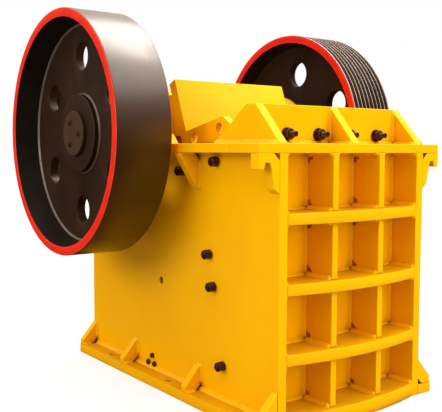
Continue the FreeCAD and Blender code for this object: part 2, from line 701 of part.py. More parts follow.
def tension_gear():
    """Two rods through the rear wall, each with a spring, washers and a nut behind it."""
    washer_one = (REAR_FACE, REAR_FACE + d.spring_washer)
    spring = (washer_one[1], washer_one[1] + d.spring_run)
    washer_two = (spring[1], spring[1] + d.spring_washer)
    nut = (washer_two[1], washer_two[1] + d.rod_nut_run)
    rods, springs = [], []
    for side, word in SIDES:
        centre = (side * d.rod_place, d.rod_height)
        bar = cylinder(f"rod_bar_{word}", "y", d.rod, (FRONT + d.rod_front, nut[1] + d.rod / 2), centre)
        plates = [cylinder(f"rod_washer_{word}_{index}", "y", d.spring, span, centre)
                  for index, span in enumerate((washer_one, washer_two))]
        hexagon = doc.addObject("Part::Prism", f"rod_nut_{word}")
        hexagon.Polygon = NUT_SIDES
        bind(hexagon, "Circumradius", d.rod_nut / 2)
        bind(hexagon, "Height", d.rod_nut_run)
        place(hexagon, "y", (centre[0], nut[0], centre[1]))
        rods.append(fuse(f"rod_made_{word}", bar, *plates, hexagon))
        sleeve = cylinder(f"spring_outer_{word}", "y", d.spring, spring, centre)
        core = cylinder(f"spring_inner_{word}", "y", d.rod + 2 * d.fit_gap, spring, centre)
        springs.append(cut(f"spring_sleeve_{word}", sleeve, core))
    piece("tension_rods", group("tension_rods", rods))
    piece("tension_springs", group("tension_springs", springs))


# ---- shaft, bearings and wheels -------------------------------------------------------------------


def bearing(side, word):
    """A housing split at the shaft axis: a spigot in the wall's saddle and a barrel outside it."""
    half_bore = d.journal / 2 + d.running_gap
    spans = [sided(side, WALL_INNER, WALL_OUTER), sided(side, WALL_OUTER, HOUSING_END)]
    profile = [
        (side * WALL_INNER, half_bore),
        (side * HOUSING_END, half_bore),
        (side * HOUSING_END, HOUSING / 2),
        (side * WALL_OUTER, HOUSING / 2),
        (side * WALL_OUTER, SPIGOT / 2),
        (side * WALL_INNER, SPIGOT / 2),
    ]
    across = (min(spans[0][0], spans[1][0]), max(spans[0][1], spans[1][1]))
    along = (SHAFT_Y - HOUSING / 2, SHAFT_Y + HOUSING / 2)
    for half, level in (("housing", (SHAFT_Z - HOUSING / 2, SHAFT_Z)),
                        ("cap", (SHAFT_Z, SHAFT_Z + HOUSING / 2))):
        node = f"bearing_{half}_{word}"
        ring = turned(f"{node}_ring", profile)
        piece(node, common(node, ring, box(f"{node}_half", across, along, level)))


def shaft():
    """Wheel seats and main journals on the axis, and the eccentric between the walls."""
    seat, journal = WHEEL_SEAT / 2, d.journal / 2
    bar = turned("shaft_bar", [
        (-HUB_OUTER[LEFT], 0.0),
        (HUB_OUTER[RIGHT], 0.0),
        (HUB_OUTER[RIGHT], seat),
        (HUB_INNER, seat),
        (HUB_INNER, journal),
        (-HUB_INNER, journal),
        (-HUB_INNER, seat),
        (-HUB_OUTER[LEFT], seat),
    ])
    half = WALL_INNER - d.jaw_barrel_gap / 2
    lobe = cylinder("shaft_eccentric", "x", ECCENTRIC, (-half, half), (SHAFT_Y, ECCENTRIC_Z))
    piece("eccentric_shaft", fuse("eccentric_shaft", bar, lobe))
    caps = [cylinder(f"end_cap_{word}", "x", d.end_cap,
                     sided(side, HUB_OUTER[side], HUB_OUTER[side] + d.end_cap_plate),
                     (SHAFT_Y, SHAFT_Z))
            for side, word in SIDES]
    piece("shaft_end_caps", group("shaft_end_caps", caps))


def rim_bore(side):
    """The inner side of a rim, from its inner mouth to its outer one, thickest at the web."""
    mouth = d.wheel / 2 - d.rim_depth
    neck = mouth - d.rim_draft
    return [(side * RIM_INNER[side], mouth), (side * WEB_INNER[side], neck),
            (side * WEB_OUTER[side], neck), (side * RIM_OUTER[side], mouth)]


def flywheel_rim():
    piece("flywheel_rim", turned("flywheel_rim", rim_bore(LEFT) + [
        (-RIM_OUTER[LEFT], d.wheel / 2),
        (-RIM_INNER[LEFT], d.wheel / 2),
    ]))


def sheave_rim():
    """The sheave's rim, with a row of V-grooves centred on its width."""
    inner, outer = RIM_INNER[RIGHT], RIM_OUTER[RIGHT]
    middle = (inner + outer) / 2
    crest, floor = d.wheel / 2, d.wheel / 2 - d.groove_depth
    lip = (d.groove_pitch - d.groove_land) / 2
    tread = [(outer, crest)]
    for index in range(GROOVES):
        centre = middle + ((GROOVES - 1) / 2 - index) * d.groove_pitch
        tread += [(centre + lip, crest), (centre + d.groove_floor / 2, floor),
                  (centre - d.groove_floor / 2, floor), (centre - lip, crest)]
    tread.append((inner, crest))
    piece("sheave_rim", turned("sheave_rim", rim_bore(RIGHT) + tread))


def wheel_web(side, node):
    """A disc with a ring of round holes, one of them straight above the shaft."""
    body = doc.addObject("PartDesign::Body", node)
    low = sided(side, WEB_INNER[side], WEB_OUTER[side])[0]
    disc = body.newObject("Sketcher::SketchObject", f"{node}_disc")
    round_sketch(body, disc, low, [
        (0.0, d.wheel / 2 - d.rim_depth - d.rim_draft - d.fit_gap),
        (0.0, HUB / 2 + d.fit_gap),
    ])
    pad = body.newObject("PartDesign::Pad", f"{node}_pad")
    pad.Profile = disc
    bind(pad, "Length", d.web_plate)
    spot = body.newObject("Sketcher::SketchObject", f"{node}_spot")
    hole = d.sheave_hole if side == RIGHT else d.flywheel_hole
    round_sketch(body, spot, low, [(d.web_hole_ring / 2, hole / 2)])
    doc.recompute()
    pocket = body.newObject("PartDesign::Pocket", f"{node}_hole")
    pocket.Profile = spot
    pocket.Type = "ThroughAll"
    pocket.Midplane = True
    doc.recompute()
    pattern = body.newObject("PartDesign::PolarPattern", f"{node}_holes")
    pattern.Originals = [pocket]
    pattern.Axis = (origin_feature(body, "X_Axis"), [""])
    pattern.Angle = 360
    pattern.Occurrences = WEB_HOLES
    body.Tip = pattern
    piece(node, place(body, "z", (0.0, SHAFT_Y, SHAFT_Z)))


def round_sketch(body, sketch, offset, circles):
    """Circles on the body's YZ plane, each given by its height above the axis and its radius."""
    sketch.AttachmentSupport = (origin_feature(body, "YZ_Plane"), [""])
    sketch.MapMode = "FlatFace"
    bind(sketch, "AttachmentOffset.Base.z", offset)
    normal = FreeCAD.Vector(0, 0, 1)
    for index, (height, radius) in enumerate(circles):
        centre = FreeCAD.Vector(0, float(height), 0)
        sketch.addGeometry(Part.Circle(centre, normal, float(radius)), False)
        held = sketch.addConstraint(Sketcher.Constraint("Radius", index, float(radius)))
        bind(sketch, f"Constraints[{held}]", radius)
        sketch.addConstraint(Sketcher.Constraint("DistanceX", -1, 1, index, 3, 0.0))
        held = sketch.addConstraint(Sketcher.Constraint("DistanceY", -1, 1, index, 3, float(height)))
        bind(sketch, f"Constraints[{held}]", height)


def wheels():
    flywheel_rim()
    sheave_rim()
    for side, word in ((LEFT, "flywheel"), (RIGHT, "sheave")):
        wheel_web(side, f"{word}_web")
        piece(f"{word}_hub", tube(f"{word}_hub", sided(side, HUB_INNER, HUB_OUTER[side]),
                                  WHEEL_SEAT + 2 * d.fit_gap, HUB))


# ---- whole machine --------------------------------------------------------------------------------


def build():
    front()
    hopper()
    rear()
    for side, word in SIDES:
        side_wall(side, word)
        base(side, word)
        knees = [front_knee(side, word), rear_knee(side, word)]
        piece(f"flange_gussets_{word}", group(f"flange_gussets_{word}", knees))
        cheek(side, word)
        bearing(side, word)
    fixed_jaw()
    toggle()
    tension_gear()
    shaft()
    wheels()
    swing_jaw()
    moving_jaw_plate()
    jaw_guard()
    doc.recompute()


def check():
    for thing in doc.Objects:
        if "Invalid" in thing.State or "Error" in thing.State:
            raise SystemExit(f"{thing.Name} ({thing.Label}) is {thing.State}")
    for thing in pieces:
        if thing.Shape.isNull() or not thing.Shape.isValid() or not thing.Shape.Solids:
            raise SystemExit(f"{thing.Label} has no valid solid")


def export():
    os.makedirs("parts", exist_ok=True)
    for thing in pieces:
        thing.Shape.exportStep(f"parts/{thing.Label}.step")
    print(f"{len(pieces)} sub-parts written")


build()
check()
export()
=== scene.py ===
"""Looks of the jaw crusher: enamel, weld beads, bolts, turned wheels, jaw plate teeth, springs, studio.

Metres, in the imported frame: X along the shaft towards the drive sheave, Y to the rear, Z up.
"""

import bpy
import bmesh
import json
import math
import random
from mathutils import Matrix, Vector


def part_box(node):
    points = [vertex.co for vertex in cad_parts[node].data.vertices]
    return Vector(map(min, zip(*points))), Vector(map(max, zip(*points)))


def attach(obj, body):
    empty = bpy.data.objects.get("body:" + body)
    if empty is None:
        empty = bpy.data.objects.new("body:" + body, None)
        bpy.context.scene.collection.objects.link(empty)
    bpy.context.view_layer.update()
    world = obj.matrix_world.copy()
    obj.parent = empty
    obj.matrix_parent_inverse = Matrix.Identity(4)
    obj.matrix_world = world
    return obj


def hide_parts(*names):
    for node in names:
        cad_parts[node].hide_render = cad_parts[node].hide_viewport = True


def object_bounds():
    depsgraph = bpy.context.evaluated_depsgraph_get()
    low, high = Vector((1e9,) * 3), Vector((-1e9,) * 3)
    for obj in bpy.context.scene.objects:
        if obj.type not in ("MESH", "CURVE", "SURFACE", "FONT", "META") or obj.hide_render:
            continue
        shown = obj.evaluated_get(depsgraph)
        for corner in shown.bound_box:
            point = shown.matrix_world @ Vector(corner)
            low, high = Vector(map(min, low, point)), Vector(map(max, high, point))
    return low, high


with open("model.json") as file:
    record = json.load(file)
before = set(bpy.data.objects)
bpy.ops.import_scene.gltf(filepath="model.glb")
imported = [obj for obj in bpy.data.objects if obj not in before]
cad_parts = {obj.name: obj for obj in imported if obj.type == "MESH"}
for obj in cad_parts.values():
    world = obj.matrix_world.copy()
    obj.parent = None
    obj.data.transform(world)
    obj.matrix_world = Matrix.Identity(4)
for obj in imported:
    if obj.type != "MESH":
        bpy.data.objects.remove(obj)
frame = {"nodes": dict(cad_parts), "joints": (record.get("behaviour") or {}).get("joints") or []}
cad_low, cad_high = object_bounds()

# ---- camera ---------------------------------------------------------------------------------------

CAMERA_PLACE = Vector((-2.996, -3.773, 1.4545))
CAMERA_YAW = math.radians(36.302)
CAMERA_DOWN = math.radians(4.2775)
CAMERA_ROLL = math.radians(0.178)
CAMERA_LENS = 61.0


def make_camera():
    """A long lens to the front left of the machine, a little above the middle of its height."""
    data = bpy.data.cameras.new("camera")
    data.lens = CAMERA_LENS
    data.sensor_width = 36.0
    camera = bpy.data.objects.new("camera", data)
    bpy.context.scene.collection.objects.link(camera)
    ahead = Vector((math.sin(CAMERA_YAW) * math.cos(CAMERA_DOWN),
                    math.cos(CAMERA_YAW) * math.cos(CAMERA_DOWN),
                    -math.sin(CAMERA_DOWN)))
    level = Vector((math.cos(CAMERA_YAW), -math.sin(CAMERA_YAW), 0.0))
    over = level.cross(ahead)
    right = level * math.cos(CAMERA_ROLL) + over * math.sin(CAMERA_ROLL)
    up = over * math.cos(CAMERA_ROLL) - level * math.sin(CAMERA_ROLL)
    facing = Matrix((right, up, -ahead)).transposed().to_4x4()
    camera.matrix_world = Matrix.Translation(CAMERA_PLACE) @ facing
    bpy.context.scene.camera = camera


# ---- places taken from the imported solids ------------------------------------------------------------

wall_low, wall_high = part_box("side_wall_right")
WALL_IN, WALL_OUT = wall_low.x, wall_high.x
FRONT, REAR = wall_low.y, wall_high.y
FRONT_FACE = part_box("front_wall")[0].y
flange_low, flange_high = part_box("hopper_flange_front")
FLANGE_UNDER, FLANGE_TOP = flange_low.z, flange_high.z
FLANGE_EDGE = flange_high.x
flange_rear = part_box("hopper_flange_right")[1].y
stiffener_low, stiffener_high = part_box("front_stiffeners_right")
rib_boxes = [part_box(f"front_rib_{word}") for word in ("bottom", "lower", "middle", "upper")]
RIBS = [(low.z, high.z) for low, high in rib_boxes]
rear_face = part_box("rear_wall")[1].y
ear_low, ear_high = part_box("hopper_ear_right")
gusset_low, gusset_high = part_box("hopper_middle_gusset")
base_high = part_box("base_plate_right")[1]
housing_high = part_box("bearing_housing_right")[1]
_, SHAFT_Y, SHAFT_Z = frame["joints"][0]["pos_m"]
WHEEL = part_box("flywheel_rim")[1].z - SHAFT_Z
SIDES = ((-1, "left"), (1, "right"))
FRAME, ROTOR, JAW = "frame", "rotor", "jaw"

# ---- shader groups --------------------------------------------------------------------------------


class Bench:
    """Lays out and joins the nodes of one shader tree."""

    def __init__(self, tree):
        self.tree = tree

    def put(self, kind, settings=None, **feeds):
        node = self.tree.nodes.new("ShaderNode" + kind)
        for name, value in (settings or {}).items():
            setattr(node, name, value)
        for name, value in feeds.items():
            self.feed(node.inputs[name.replace("_", " ")], value)
        return node

    def feed(self, socket, value):
        if isinstance(value, bpy.types.NodeSocket):
            self.tree.links.new(value, socket)
        else:
            socket.default_value = value

    def calc(self, operation, *terms, clamp=False):
        """One sum of numbers."""
        node = self.put("Math", {"operation": operation, "use_clamp": clamp})
        for socket, term in zip(node.inputs, terms):
            self.feed(socket, term)
        return node.outputs[0]

    def blend(self, amount, first, second):
        """A colour between two colours."""
        node = self.put("Mix", {"data_type": "RGBA"})
        for socket, value in ((node.inputs[0], amount), (node.inputs[6], first), (node.inputs[7], second)):
            self.feed(socket, value)
        return node.outputs[2]

    def spread(self, value, low, high, to_low=0.0, to_high=1.0):
        """The span low to high laid over to_low to to_high, held at both ends."""
        node = self.put("MapRange")
        for socket, term in zip(node.inputs, (value, low, high, to_low, to_high)):
            self.feed(socket, term)
        return node.outputs[0]

    def place(self):
        return self.put("TexCoord").outputs["Object"]

    def noise(self, place, scale, detail=2.0, roughness=0.5):
        node = self.put("TexNoise", Vector=place, Scale=scale, Detail=detail, Roughness=roughness)
        return node.outputs[0]


def effect(name, inputs, outputs):
    """A named shader group with float inputs (name, default) and float outputs."""
    tree = bpy.data.node_groups.new(name, "ShaderNodeTree")
    for label, default in inputs:
        socket = tree.interface.new_socket(name=label, in_out="INPUT", socket_type="NodeSocketFloat")
        socket.default_value = default
    for label in outputs:
        tree.interface.new_socket(name=label, in_out="OUTPUT", socket_type="NodeSocketFloat")
    bench = Bench(tree)
    given = tree.nodes.new("NodeGroupInput").outputs
    result = tree.nodes.new("NodeGroupOutput").inputs
    return tree, bench, given, result


def make_drift():
    """Slow cloudiness of a sprayed or cast surface."""
    tree, bench, given, result = effect("paint_drift", (("Size", 0.4), ("Contrast", 1.0)), ("Drift",))
    scale = bench.calc("DIVIDE", 1.0, given["Size"])
    cloud = bench.noise(bench.place(), scale, 3.0, 0.55)
    centred = bench.calc("SUBTRACT", bench.spread(cloud, 0.32, 0.68), 0.5)
    level = bench.calc("MULTIPLY_ADD", centred, given["Contrast"], 0.5, clamp=True)
    bench.feed(result["Drift"], level)
    return tree


def make_skin():
    """Height of fine grain over the slow waviness of a rolled or cast surface."""
    tree, bench, given, result = effect(
        "surface_skin", (("Grain", 0.004), ("Grain Depth", 0.0001), ("Wave", 0.25), ("Wave Depth", 0.0008)),
        ("Height",))
    place = bench.place()
    grain = bench.noise(place, bench.calc("DIVIDE", 1.0, given["Grain"]), 2.0)
    wave = bench.noise(place, bench.calc("DIVIDE", 1.0, given["Wave"]), 1.0)
    fine = bench.calc("MULTIPLY", grain, given["Grain Depth"])
    bench.feed(result["Height"], bench.calc("MULTIPLY_ADD", wave, given["Wave Depth"], fine))
    return tree


def make_edge_rub_and_highlight():
    """Mask of edges where a finish is rubbed down; on enamel it also places a painted highlight."""
    tree, bench, given, result = effect("edge_rub_and_highlight", (("Width", 0.006), ("Patch Size", 0.03)), ("Mask",))
    eased = bench.put("Bevel", {"samples": 4}, Radius=given["Width"])
    plain = bench.put("NewGeometry")
    likeness = bench.put("VectorMath", {"operation": "DOT_PRODUCT"})
    bench.feed(likeness.inputs[0], eased.outputs[0])
    bench.feed(likeness.inputs[1], plain.outputs["Normal"])
    edge = bench.spread(likeness.outputs["Value"], 0.99, 0.8)
    patches = bench.noise(bench.place(), bench.calc("DIVIDE", 1.0, given["Patch Size"]), 3.0, 0.7)
    bench.feed(result["Mask"], bench.calc("MULTIPLY", edge, bench.spread(patches, 0.35, 0.6), clamp=True))
    return tree


def make_corner_shade_and_dirt():
    """Masks of corners for painted shade with settled dust, and of the deepest corners, where rust starts."""
    tree, bench, given, result = effect(
        "corner_shade_and_dirt", (("Reach", 0.06), ("Patch Size", 0.12)), ("Mask", "Deep"))
    openness = bench.put("AmbientOcclusion", {"samples": 6}, Distance=given["Reach"]).outputs["AO"]
    patches = bench.noise(bench.place(), bench.calc("DIVIDE", 1.0, given["Patch Size"]), 4.0, 0.6)
    closed = bench.spread(openness, 0.85, 0.25)
    uneven = bench.spread(patches, 0.3, 0.65, 0.35, 1.0)
    bench.feed(result["Mask"], bench.calc("MULTIPLY", closed, uneven, clamp=True))
    deepest = bench.spread(openness, 0.51, 0.40)
    blotchy = bench.spread(patches, 0.3, 0.55, 0.3, 1.0)
    bench.feed(result["Deep"], bench.calc("MULTIPLY", deepest, blotchy, clamp=True))
    return tree


def make_ledge_shade_and_dust():
    """Mask of sheltered up-facing ledges for a darker orange: painted shade with rock dust."""
    tree, bench, given, result = effect("ledge_shade_and_dust", (("Reach", 0.3), ("Patch Size", 0.15)), ("Mask",))
    up = bench.put("SeparateXYZ", Vector=bench.put("NewGeometry").outputs["Normal"]).outputs["Z"]
    openness = bench.put("AmbientOcclusion", {"samples": 6}, Distance=given["Reach"]).outputs["AO"]
    sheltered = bench.spread(openness, 0.92, 0.55)
    patches = bench.noise(bench.place(), bench.calc("DIVIDE", 1.0, given["Patch Size"]), 4.0, 0.6)
    shaded_ledge = bench.calc("MULTIPLY", bench.spread(up, 0.75, 0.95), sheltered)
    uneven = bench.spread(patches, 0.3, 0.6, 0.75, 1.0)
    bench.feed(result["Mask"], bench.calc("MULTIPLY", shaded_ledge, uneven, clamp=True))
    return tree


def make_tool_rings():
    """Fine rings left by turning about the shaft axis, on faces and on treads alike."""
    tree, bench, given, result = effect(
        "tool_rings", (("Pitch", 0.002), ("Depth", 0.00002)), ("Height", "Tone"))
    split = bench.put("SeparateXYZ", Vector=bench.place())
    along = split.outputs["X"]
    back = bench.calc("SUBTRACT", split.outputs["Y"], SHAFT_Y)
    up = bench.calc("SUBTRACT", split.outputs["Z"], SHAFT_Z)
    squares = bench.calc("MULTIPLY_ADD", up, up, bench.calc("MULTIPLY", back, back))
    radius = bench.calc("POWER", squares, 0.5)
    sweep = bench.calc("ARCTAN2", back, up)
    lay = bench.put("CombineXYZ")
    rate = bench.calc("DIVIDE", 1.0, given["Pitch"])
    rows = (bench.calc("MULTIPLY", radius, rate), bench.calc("MULTIPLY", along, rate),
            bench.calc("MULTIPLY", sweep, 1.5))
    for socket, value in zip(lay.inputs, rows):
        bench.feed(socket, value)
    rings = bench.noise(lay.outputs[0], 1.0, 3.0, 0.6)
    bench.feed(result["Height"], bench.calc("MULTIPLY", rings, given["Depth"]))
    bench.feed(result["Tone"], bench.spread(rings, 0.35, 0.65))
    return tree


DRIFT, SKIN = make_drift(), make_skin()
EDGE_RUB_AND_HIGHLIGHT, CORNER_SHADE_AND_DIRT = make_edge_rub_and_highlight(), make_corner_shade_and_dirt()
LEDGE_SHADE_AND_DUST, TOOL_RINGS = make_ledge_shade_and_dust(), make_tool_rings()


def use(bench, tree, **values):
    """One of the groups above placed in a material with its own values."""
    node = bench.put("Group", {"node_tree": tree})
    for name, value in values.items():
        bench.feed(node.inputs[name.replace("_", " ")], value)
    return node.outputs


# ---- finishes -------------------------------------------------------------------------------------


def rgb(red, green, blue):
    return (red, green, blue, 1.0)


def blank_finish(name, specular):
    """A new material, its bench and its shader."""
    finish = bpy.data.materials.new(name)
    finish.use_nodes = True
    bench = Bench(finish.node_tree)
    shader = finish.node_tree.nodes["Principled BSDF"]
    shader.inputs["Specular IOR Level"].default_value = specular
    return finish, bench, shader


def raise_surface(bench, shader, height):
    bump = bench.put("Bump", Height=height, Strength=1.0, Distance=1.0)
    bench.feed(shader.inputs["Normal"], bump.outputs[0])


# darker orange for sheltered ledges: painted shade with rock dust
LEDGE_SHADE_DUST_COLOUR = rgb(0.52, 0.24, 0.003)
RUST = rgb(0.21, 0.036, 0.006)


def enamel(name, colour, deep, thin_edge_highlight, shade_and_dirt_colour, roughness, specular, shade_and_dirt_share=0.5, cloud=0.45,
           grain_depth=0.0001, wave_depth=0.0009, ledge_shade_dust_and_rust=False):
    """Sprayed enamel: slow colour drift, lighter rubbed edges with a painted highlight, painted shade with
    grime in corners, orange peel; on request painted shade with dust on ledges, and rust.
    """
    finish, bench, shader = blank_finish(name, specular)
    drift = use(bench, DRIFT, Size=cloud, Contrast=1.0)["Drift"]
    edge = use(bench, EDGE_RUB_AND_HIGHLIGHT, Width=0.006, Patch_Size=0.03)["Mask"]
    corners = use(bench, CORNER_SHADE_AND_DIRT, Reach=0.07, Patch_Size=0.12)
    corner = corners["Mask"]
    body = bench.blend(drift, rgb(*deep), rgb(*colour))
    # edges blended to a lighter colour: rubbed paint and a painted highlight
    edge_worn_and_lit = bench.blend(bench.calc("MULTIPLY", edge, 0.5), body, rgb(*thin_edge_highlight))
    # corners blended to the darker colour: painted shade, with some grime
    shaded_and_soiled = bench.blend(bench.calc("MULTIPLY", corner, shade_and_dirt_share), edge_worn_and_lit, rgb(*shade_and_dirt_colour))
    if ledge_shade_dust_and_rust:
        shaded_ledge = use(bench, LEDGE_SHADE_AND_DUST, Reach=0.3, Patch_Size=0.15)["Mask"]
        # sheltered ledges blended to a darker orange: painted shade with rock dust
        shaded_and_soiled = bench.blend(shaded_ledge, shaded_and_soiled, LEDGE_SHADE_DUST_COLOUR)
        shaded_and_soiled = bench.blend(bench.calc("MULTIPLY", corners["Deep"], 0.85), shaded_and_soiled, RUST)
    bench.feed(shader.inputs["Base Color"], shaded_and_soiled)
    dull = bench.calc("MULTIPLY_ADD", drift, -0.08, roughness + 0.08)
    bench.feed(shader.inputs["Roughness"], bench.calc("MULTIPLY_ADD", corner, 0.25, dull, clamp=True))
    skin = use(bench, SKIN, Grain=0.004, Grain_Depth=grain_depth, Wave=0.25, Wave_Depth=wave_depth)
    raise_surface(bench, shader, skin["Height"])
    return finish


def turned_metal(name, colour, dark, metallic, roughness, specular=0.5, ior=1.5, pitch=0.0022):
    """Metal left from the lathe: fine rings, a stained drift, and painted shade with grime in the grooves."""
    finish, bench, shader = blank_finish(name, specular)
    drift = use(bench, DRIFT, Size=0.22, Contrast=1.1)["Drift"]
    rings = use(bench, TOOL_RINGS, Pitch=pitch, Depth=0.00003)
    corner = use(bench, CORNER_SHADE_AND_DIRT, Reach=0.03, Patch_Size=0.2)["Mask"]
    tone = bench.calc("MULTIPLY_ADD", rings["Tone"], 0.3, bench.calc("MULTIPLY", drift, 0.7), clamp=True)
    body = bench.blend(tone, rgb(*dark), rgb(*colour))
    # corners and grooves blended to the dark colour: painted shade, with some grime
    shaded_and_soiled = bench.blend(bench.calc("MULTIPLY", corner, 0.6), body, rgb(*dark))
    bench.feed(shader.inputs["Base Color"], shaded_and_soiled)
    shader.inputs["Metallic"].default_value = metallic
    shader.inputs["IOR"].default_value = ior
    bench.feed(shader.inputs["Roughness"], bench.calc("MULTIPLY_ADD", tone, -0.12, roughness + 0.12))
    raise_surface(bench, shader, rings["Height"])
    return finish


def bare_steel(name, colour, light, roughness, metallic, grain, grain_depth, wave_depth=0.0):
    """Cast, rolled or blackened steel with brighter rubbed edges."""
    finish, bench, shader = blank_finish(name, 0.5)
    drift = use(bench, DRIFT, Size=0.09, Contrast=1.2)["Drift"]
    edge = use(bench, EDGE_RUB_AND_HIGHLIGHT, Width=0.003, Patch_Size=0.012)["Mask"]
    shade = tuple(0.55 * part for part in colour)
    body = bench.blend(drift, rgb(*shade), rgb(*colour))
    rubbed = bench.blend(bench.calc("MULTIPLY", edge, 0.6), body, rgb(*light))
    bench.feed(shader.inputs["Base Color"], rubbed)
    shader.inputs["Metallic"].default_value = metallic
    bench.feed(shader.inputs["Roughness"], bench.calc("MULTIPLY_ADD", drift, -0.1, roughness + 0.1))
    skin = use(bench, SKIN, Grain=grain, Grain_Depth=grain_depth, Wave=0.05, Wave_Depth=wave_depth)
    raise_surface(bench, shader, skin["Height"])
    return finish


YELLOW = enamel(
    "chrome_yellow_enamel", (0.875, 0.440, 0.0), (0.835, 0.396, 0.0), (0.97, 0.59, 0.02),
    (0.42, 0.17, 0.003), 0.32, 0.075, shade_and_dirt_share=0.4, ledge_shade_dust_and_rust=True)
WELD_YELLOW = enamel(
    "enamel_over_weld", (0.865, 0.43, 0.0), (0.81, 0.37, 0.0), (0.97, 0.60, 0.03),
    (0.42, 0.17, 0.003), 0.34, 0.10, shade_and_dirt_share=0.4, cloud=0.05, grain_depth=0.0002, wave_depth=0.0, ledge_shade_dust_and_rust=True)
WHEEL_BROWN = enamel(
    "wheel_brown_black_enamel", (0.030, 0.0135, 0.006), (0.018, 0.008, 0.004), (0.13, 0.09, 0.065),
    (0.010, 0.005, 0.002), 0.36, 0.15, cloud=0.3)
CAP_BROWN = enamel(
    "shaft_cap_enamel", (0.052, 0.029, 0.014), (0.038, 0.020, 0.009), (0.15, 0.11, 0.08),
    (0.012, 0.006, 0.003), 0.38, 0.2, cloud=0.2)
# a darker copy of the wheel's enamel for the rim's bore: painted shade
RIM_BORE_SHADE = enamel(
    "rim_bore_painted_shade_enamel", (0.014, 0.009, 0.005), (0.008, 0.005, 0.003), (0.06, 0.04, 0.03),
    (0.006, 0.004, 0.002), 0.42, 0.1, cloud=0.3)
# a lighter copy of the wheel's enamel for the corner fillets: painted highlight
FILLET_HIGHLIGHT = enamel(
    "painted_fillet_highlight", (0.115, 0.082, 0.062), (0.07, 0.045, 0.033), (0.30, 0.24, 0.20),
    (0.04, 0.025, 0.015), 0.34, 0.5, cloud=0.1)
RIM_RED = enamel(
    "rim_red_enamel", (0.74, 0.022, 0.008), (0.62, 0.016, 0.006), (0.9, 0.25, 0.18),
    (0.25, 0.01, 0.005), 0.30, 0.12, cloud=0.15, shade_and_dirt_share=0.3, wave_depth=0.0)
TREAD = turned_metal(
    "turned_brown_tread", (0.030, 0.008, 0.001), (0.019, 0.0045, 0.0005), 0.0, 0.27, specular=0.56, ior=1.6)
GROOVE_STEEL = turned_metal(
    "turned_groove_steel", (0.045, 0.026, 0.020), (0.020, 0.010, 0.007), 0.0, 0.34, specular=0.4)
# a light copy of the groove steel for the tops of the lands: painted highlight
LAND_HIGHLIGHT_STEEL = turned_metal(
    "groove_land_painted_highlight", (0.42, 0.34, 0.29), (0.24, 0.17, 0.13), 0.0, 0.30, specular=0.6)
SHAFT_STEEL = turned_metal(
    "turned_shaft_steel", (0.10, 0.07, 0.05), (0.05, 0.03, 0.02), 0.5, 0.34, pitch=0.003)
BLACK_STEEL = bare_steel(
    "blackened_steel", (0.056, 0.013, 0.011), (0.30, 0.20, 0.18), 0.34, 0.6, 0.002, 0.00004)
BURNT_STEEL = bare_steel(
    "burnt_steel", (0.40, 0.070, 0.007), (0.62, 0.26, 0.01), 0.6, 0.0, 0.004, 0.0001)
JAW_STEEL = bare_steel(
    "cast_manganese_steel", (0.20, 0.18, 0.165), (0.42, 0.40, 0.38), 0.46, 0.7, 0.006, 0.0004, 0.001)

# ---- mesh making ----------------------------------------------------------------------------------


class Stock:
    """Points and faces of the shapes that go into one piece."""

    def __init__(self):
        self.points = []
        self.faces = []

    def add(self, points, faces):
        start = len(self.points)
        self.points += points
        self.faces += [tuple(start + corner for corner in face) for face in faces]

    def tube(self, rings, closed=False):
        """Joins rings of equal length; the first and last are capped unless they meet."""
        count = len(rings[0])
        faces = []
        for row in range(len(rings) if closed else len(rings) - 1):
            here, there = row * count, ((row + 1) % len(rings)) * count
            for spot in range(count):
                after = (spot + 1) % count
                faces.append((here + spot, here + after, there + after, there + spot))
        if not closed:
            faces.append(tuple(reversed(range(count))))
            faces.append(tuple(range((len(rings) - 1) * count, len(rings) * count)))
        self.add([point for ring in rings for point in ring], faces)

    def mesh(self, name):
        mesh = bpy.data.meshes.new(name)
        mesh.from_pydata([tuple(point) for point in self.points], [], self.faces)
        shell = bmesh.new()
        shell.from_mesh(mesh)
        bmesh.ops.recalc_face_normals(shell, faces=shell.faces)
        shell.to_mesh(mesh)
        shell.free()
        return mesh


SMOOTH_LIMIT = math.radians(34)


def fit(mesh, name, body, finish, replaced=()):
    """Puts a finished mesh on a body as one piece."""
    mesh.materials.clear()
    mesh.materials.append(finish)
    mesh.shade_smooth()
    mesh.set_sharp_from_angle(angle=SMOOTH_LIMIT)
    thing = bpy.data.objects.new(name, mesh)
    bpy.context.scene.collection.objects.link(thing)
    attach(thing, body)
    if replaced:
        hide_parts(*replaced)


def square_to(axis):
    """Two directions square to an axis and to each other."""
    axis = axis.normalized()
    other = Vector((0, 0, 1)) if abs(axis.z) < 0.9 else Vector((0, 1, 0))
    first = other.cross(axis).normalized()
    return first, axis.cross(first)


def turn(stock, place, axis, rings, sides=36):
    """A turned or hexagonal part. Rings are (height, radius), each a number or a rule of the angle."""
    axis = axis.normalized()
    first, second = square_to(axis)
    made = []
    for height, radius in rings:
        ring = []
        for step in range(sides):
            angle = math.tau * step / sides
            rise = height(angle) if callable(height) else height
            reach = radius(angle) if callable(radius) else radius
            spoke = first * math.cos(angle) + second * math.sin(angle)
            ring.append(place + axis * rise + spoke * reach)
        made.append(ring)
    stock.tube(made)


TOP_RADIUS = 0.485
CHAMFER_SLOPE = 0.577


def hexagon(flats):
    """Radius of a hexagon of that width across flats, by angle."""
    sixth = math.pi / 3
    return lambda angle: flats / 2 / math.cos((angle + sixth / 2) % sixth - sixth / 2)


def chamfer_fall(flats, level, sign):
    """Height of a hexagon's edge where a cone has been turned off its corners."""
    outline = hexagon(flats)
    return lambda angle: level - sign * max(0.0, outline(angle) - TOP_RADIUS * flats) * CHAMFER_SLOPE


def nut(stock, place, axis, flats, thick):
    outline = hexagon(flats)
    turn(stock, place, axis, [
        (0.0, 0.47 * flats), (chamfer_fall(flats, 0.001, -1), outline),
        (chamfer_fall(flats, thick, 1), outline), (thick, TOP_RADIUS * flats), (thick, 0.30 * flats)])


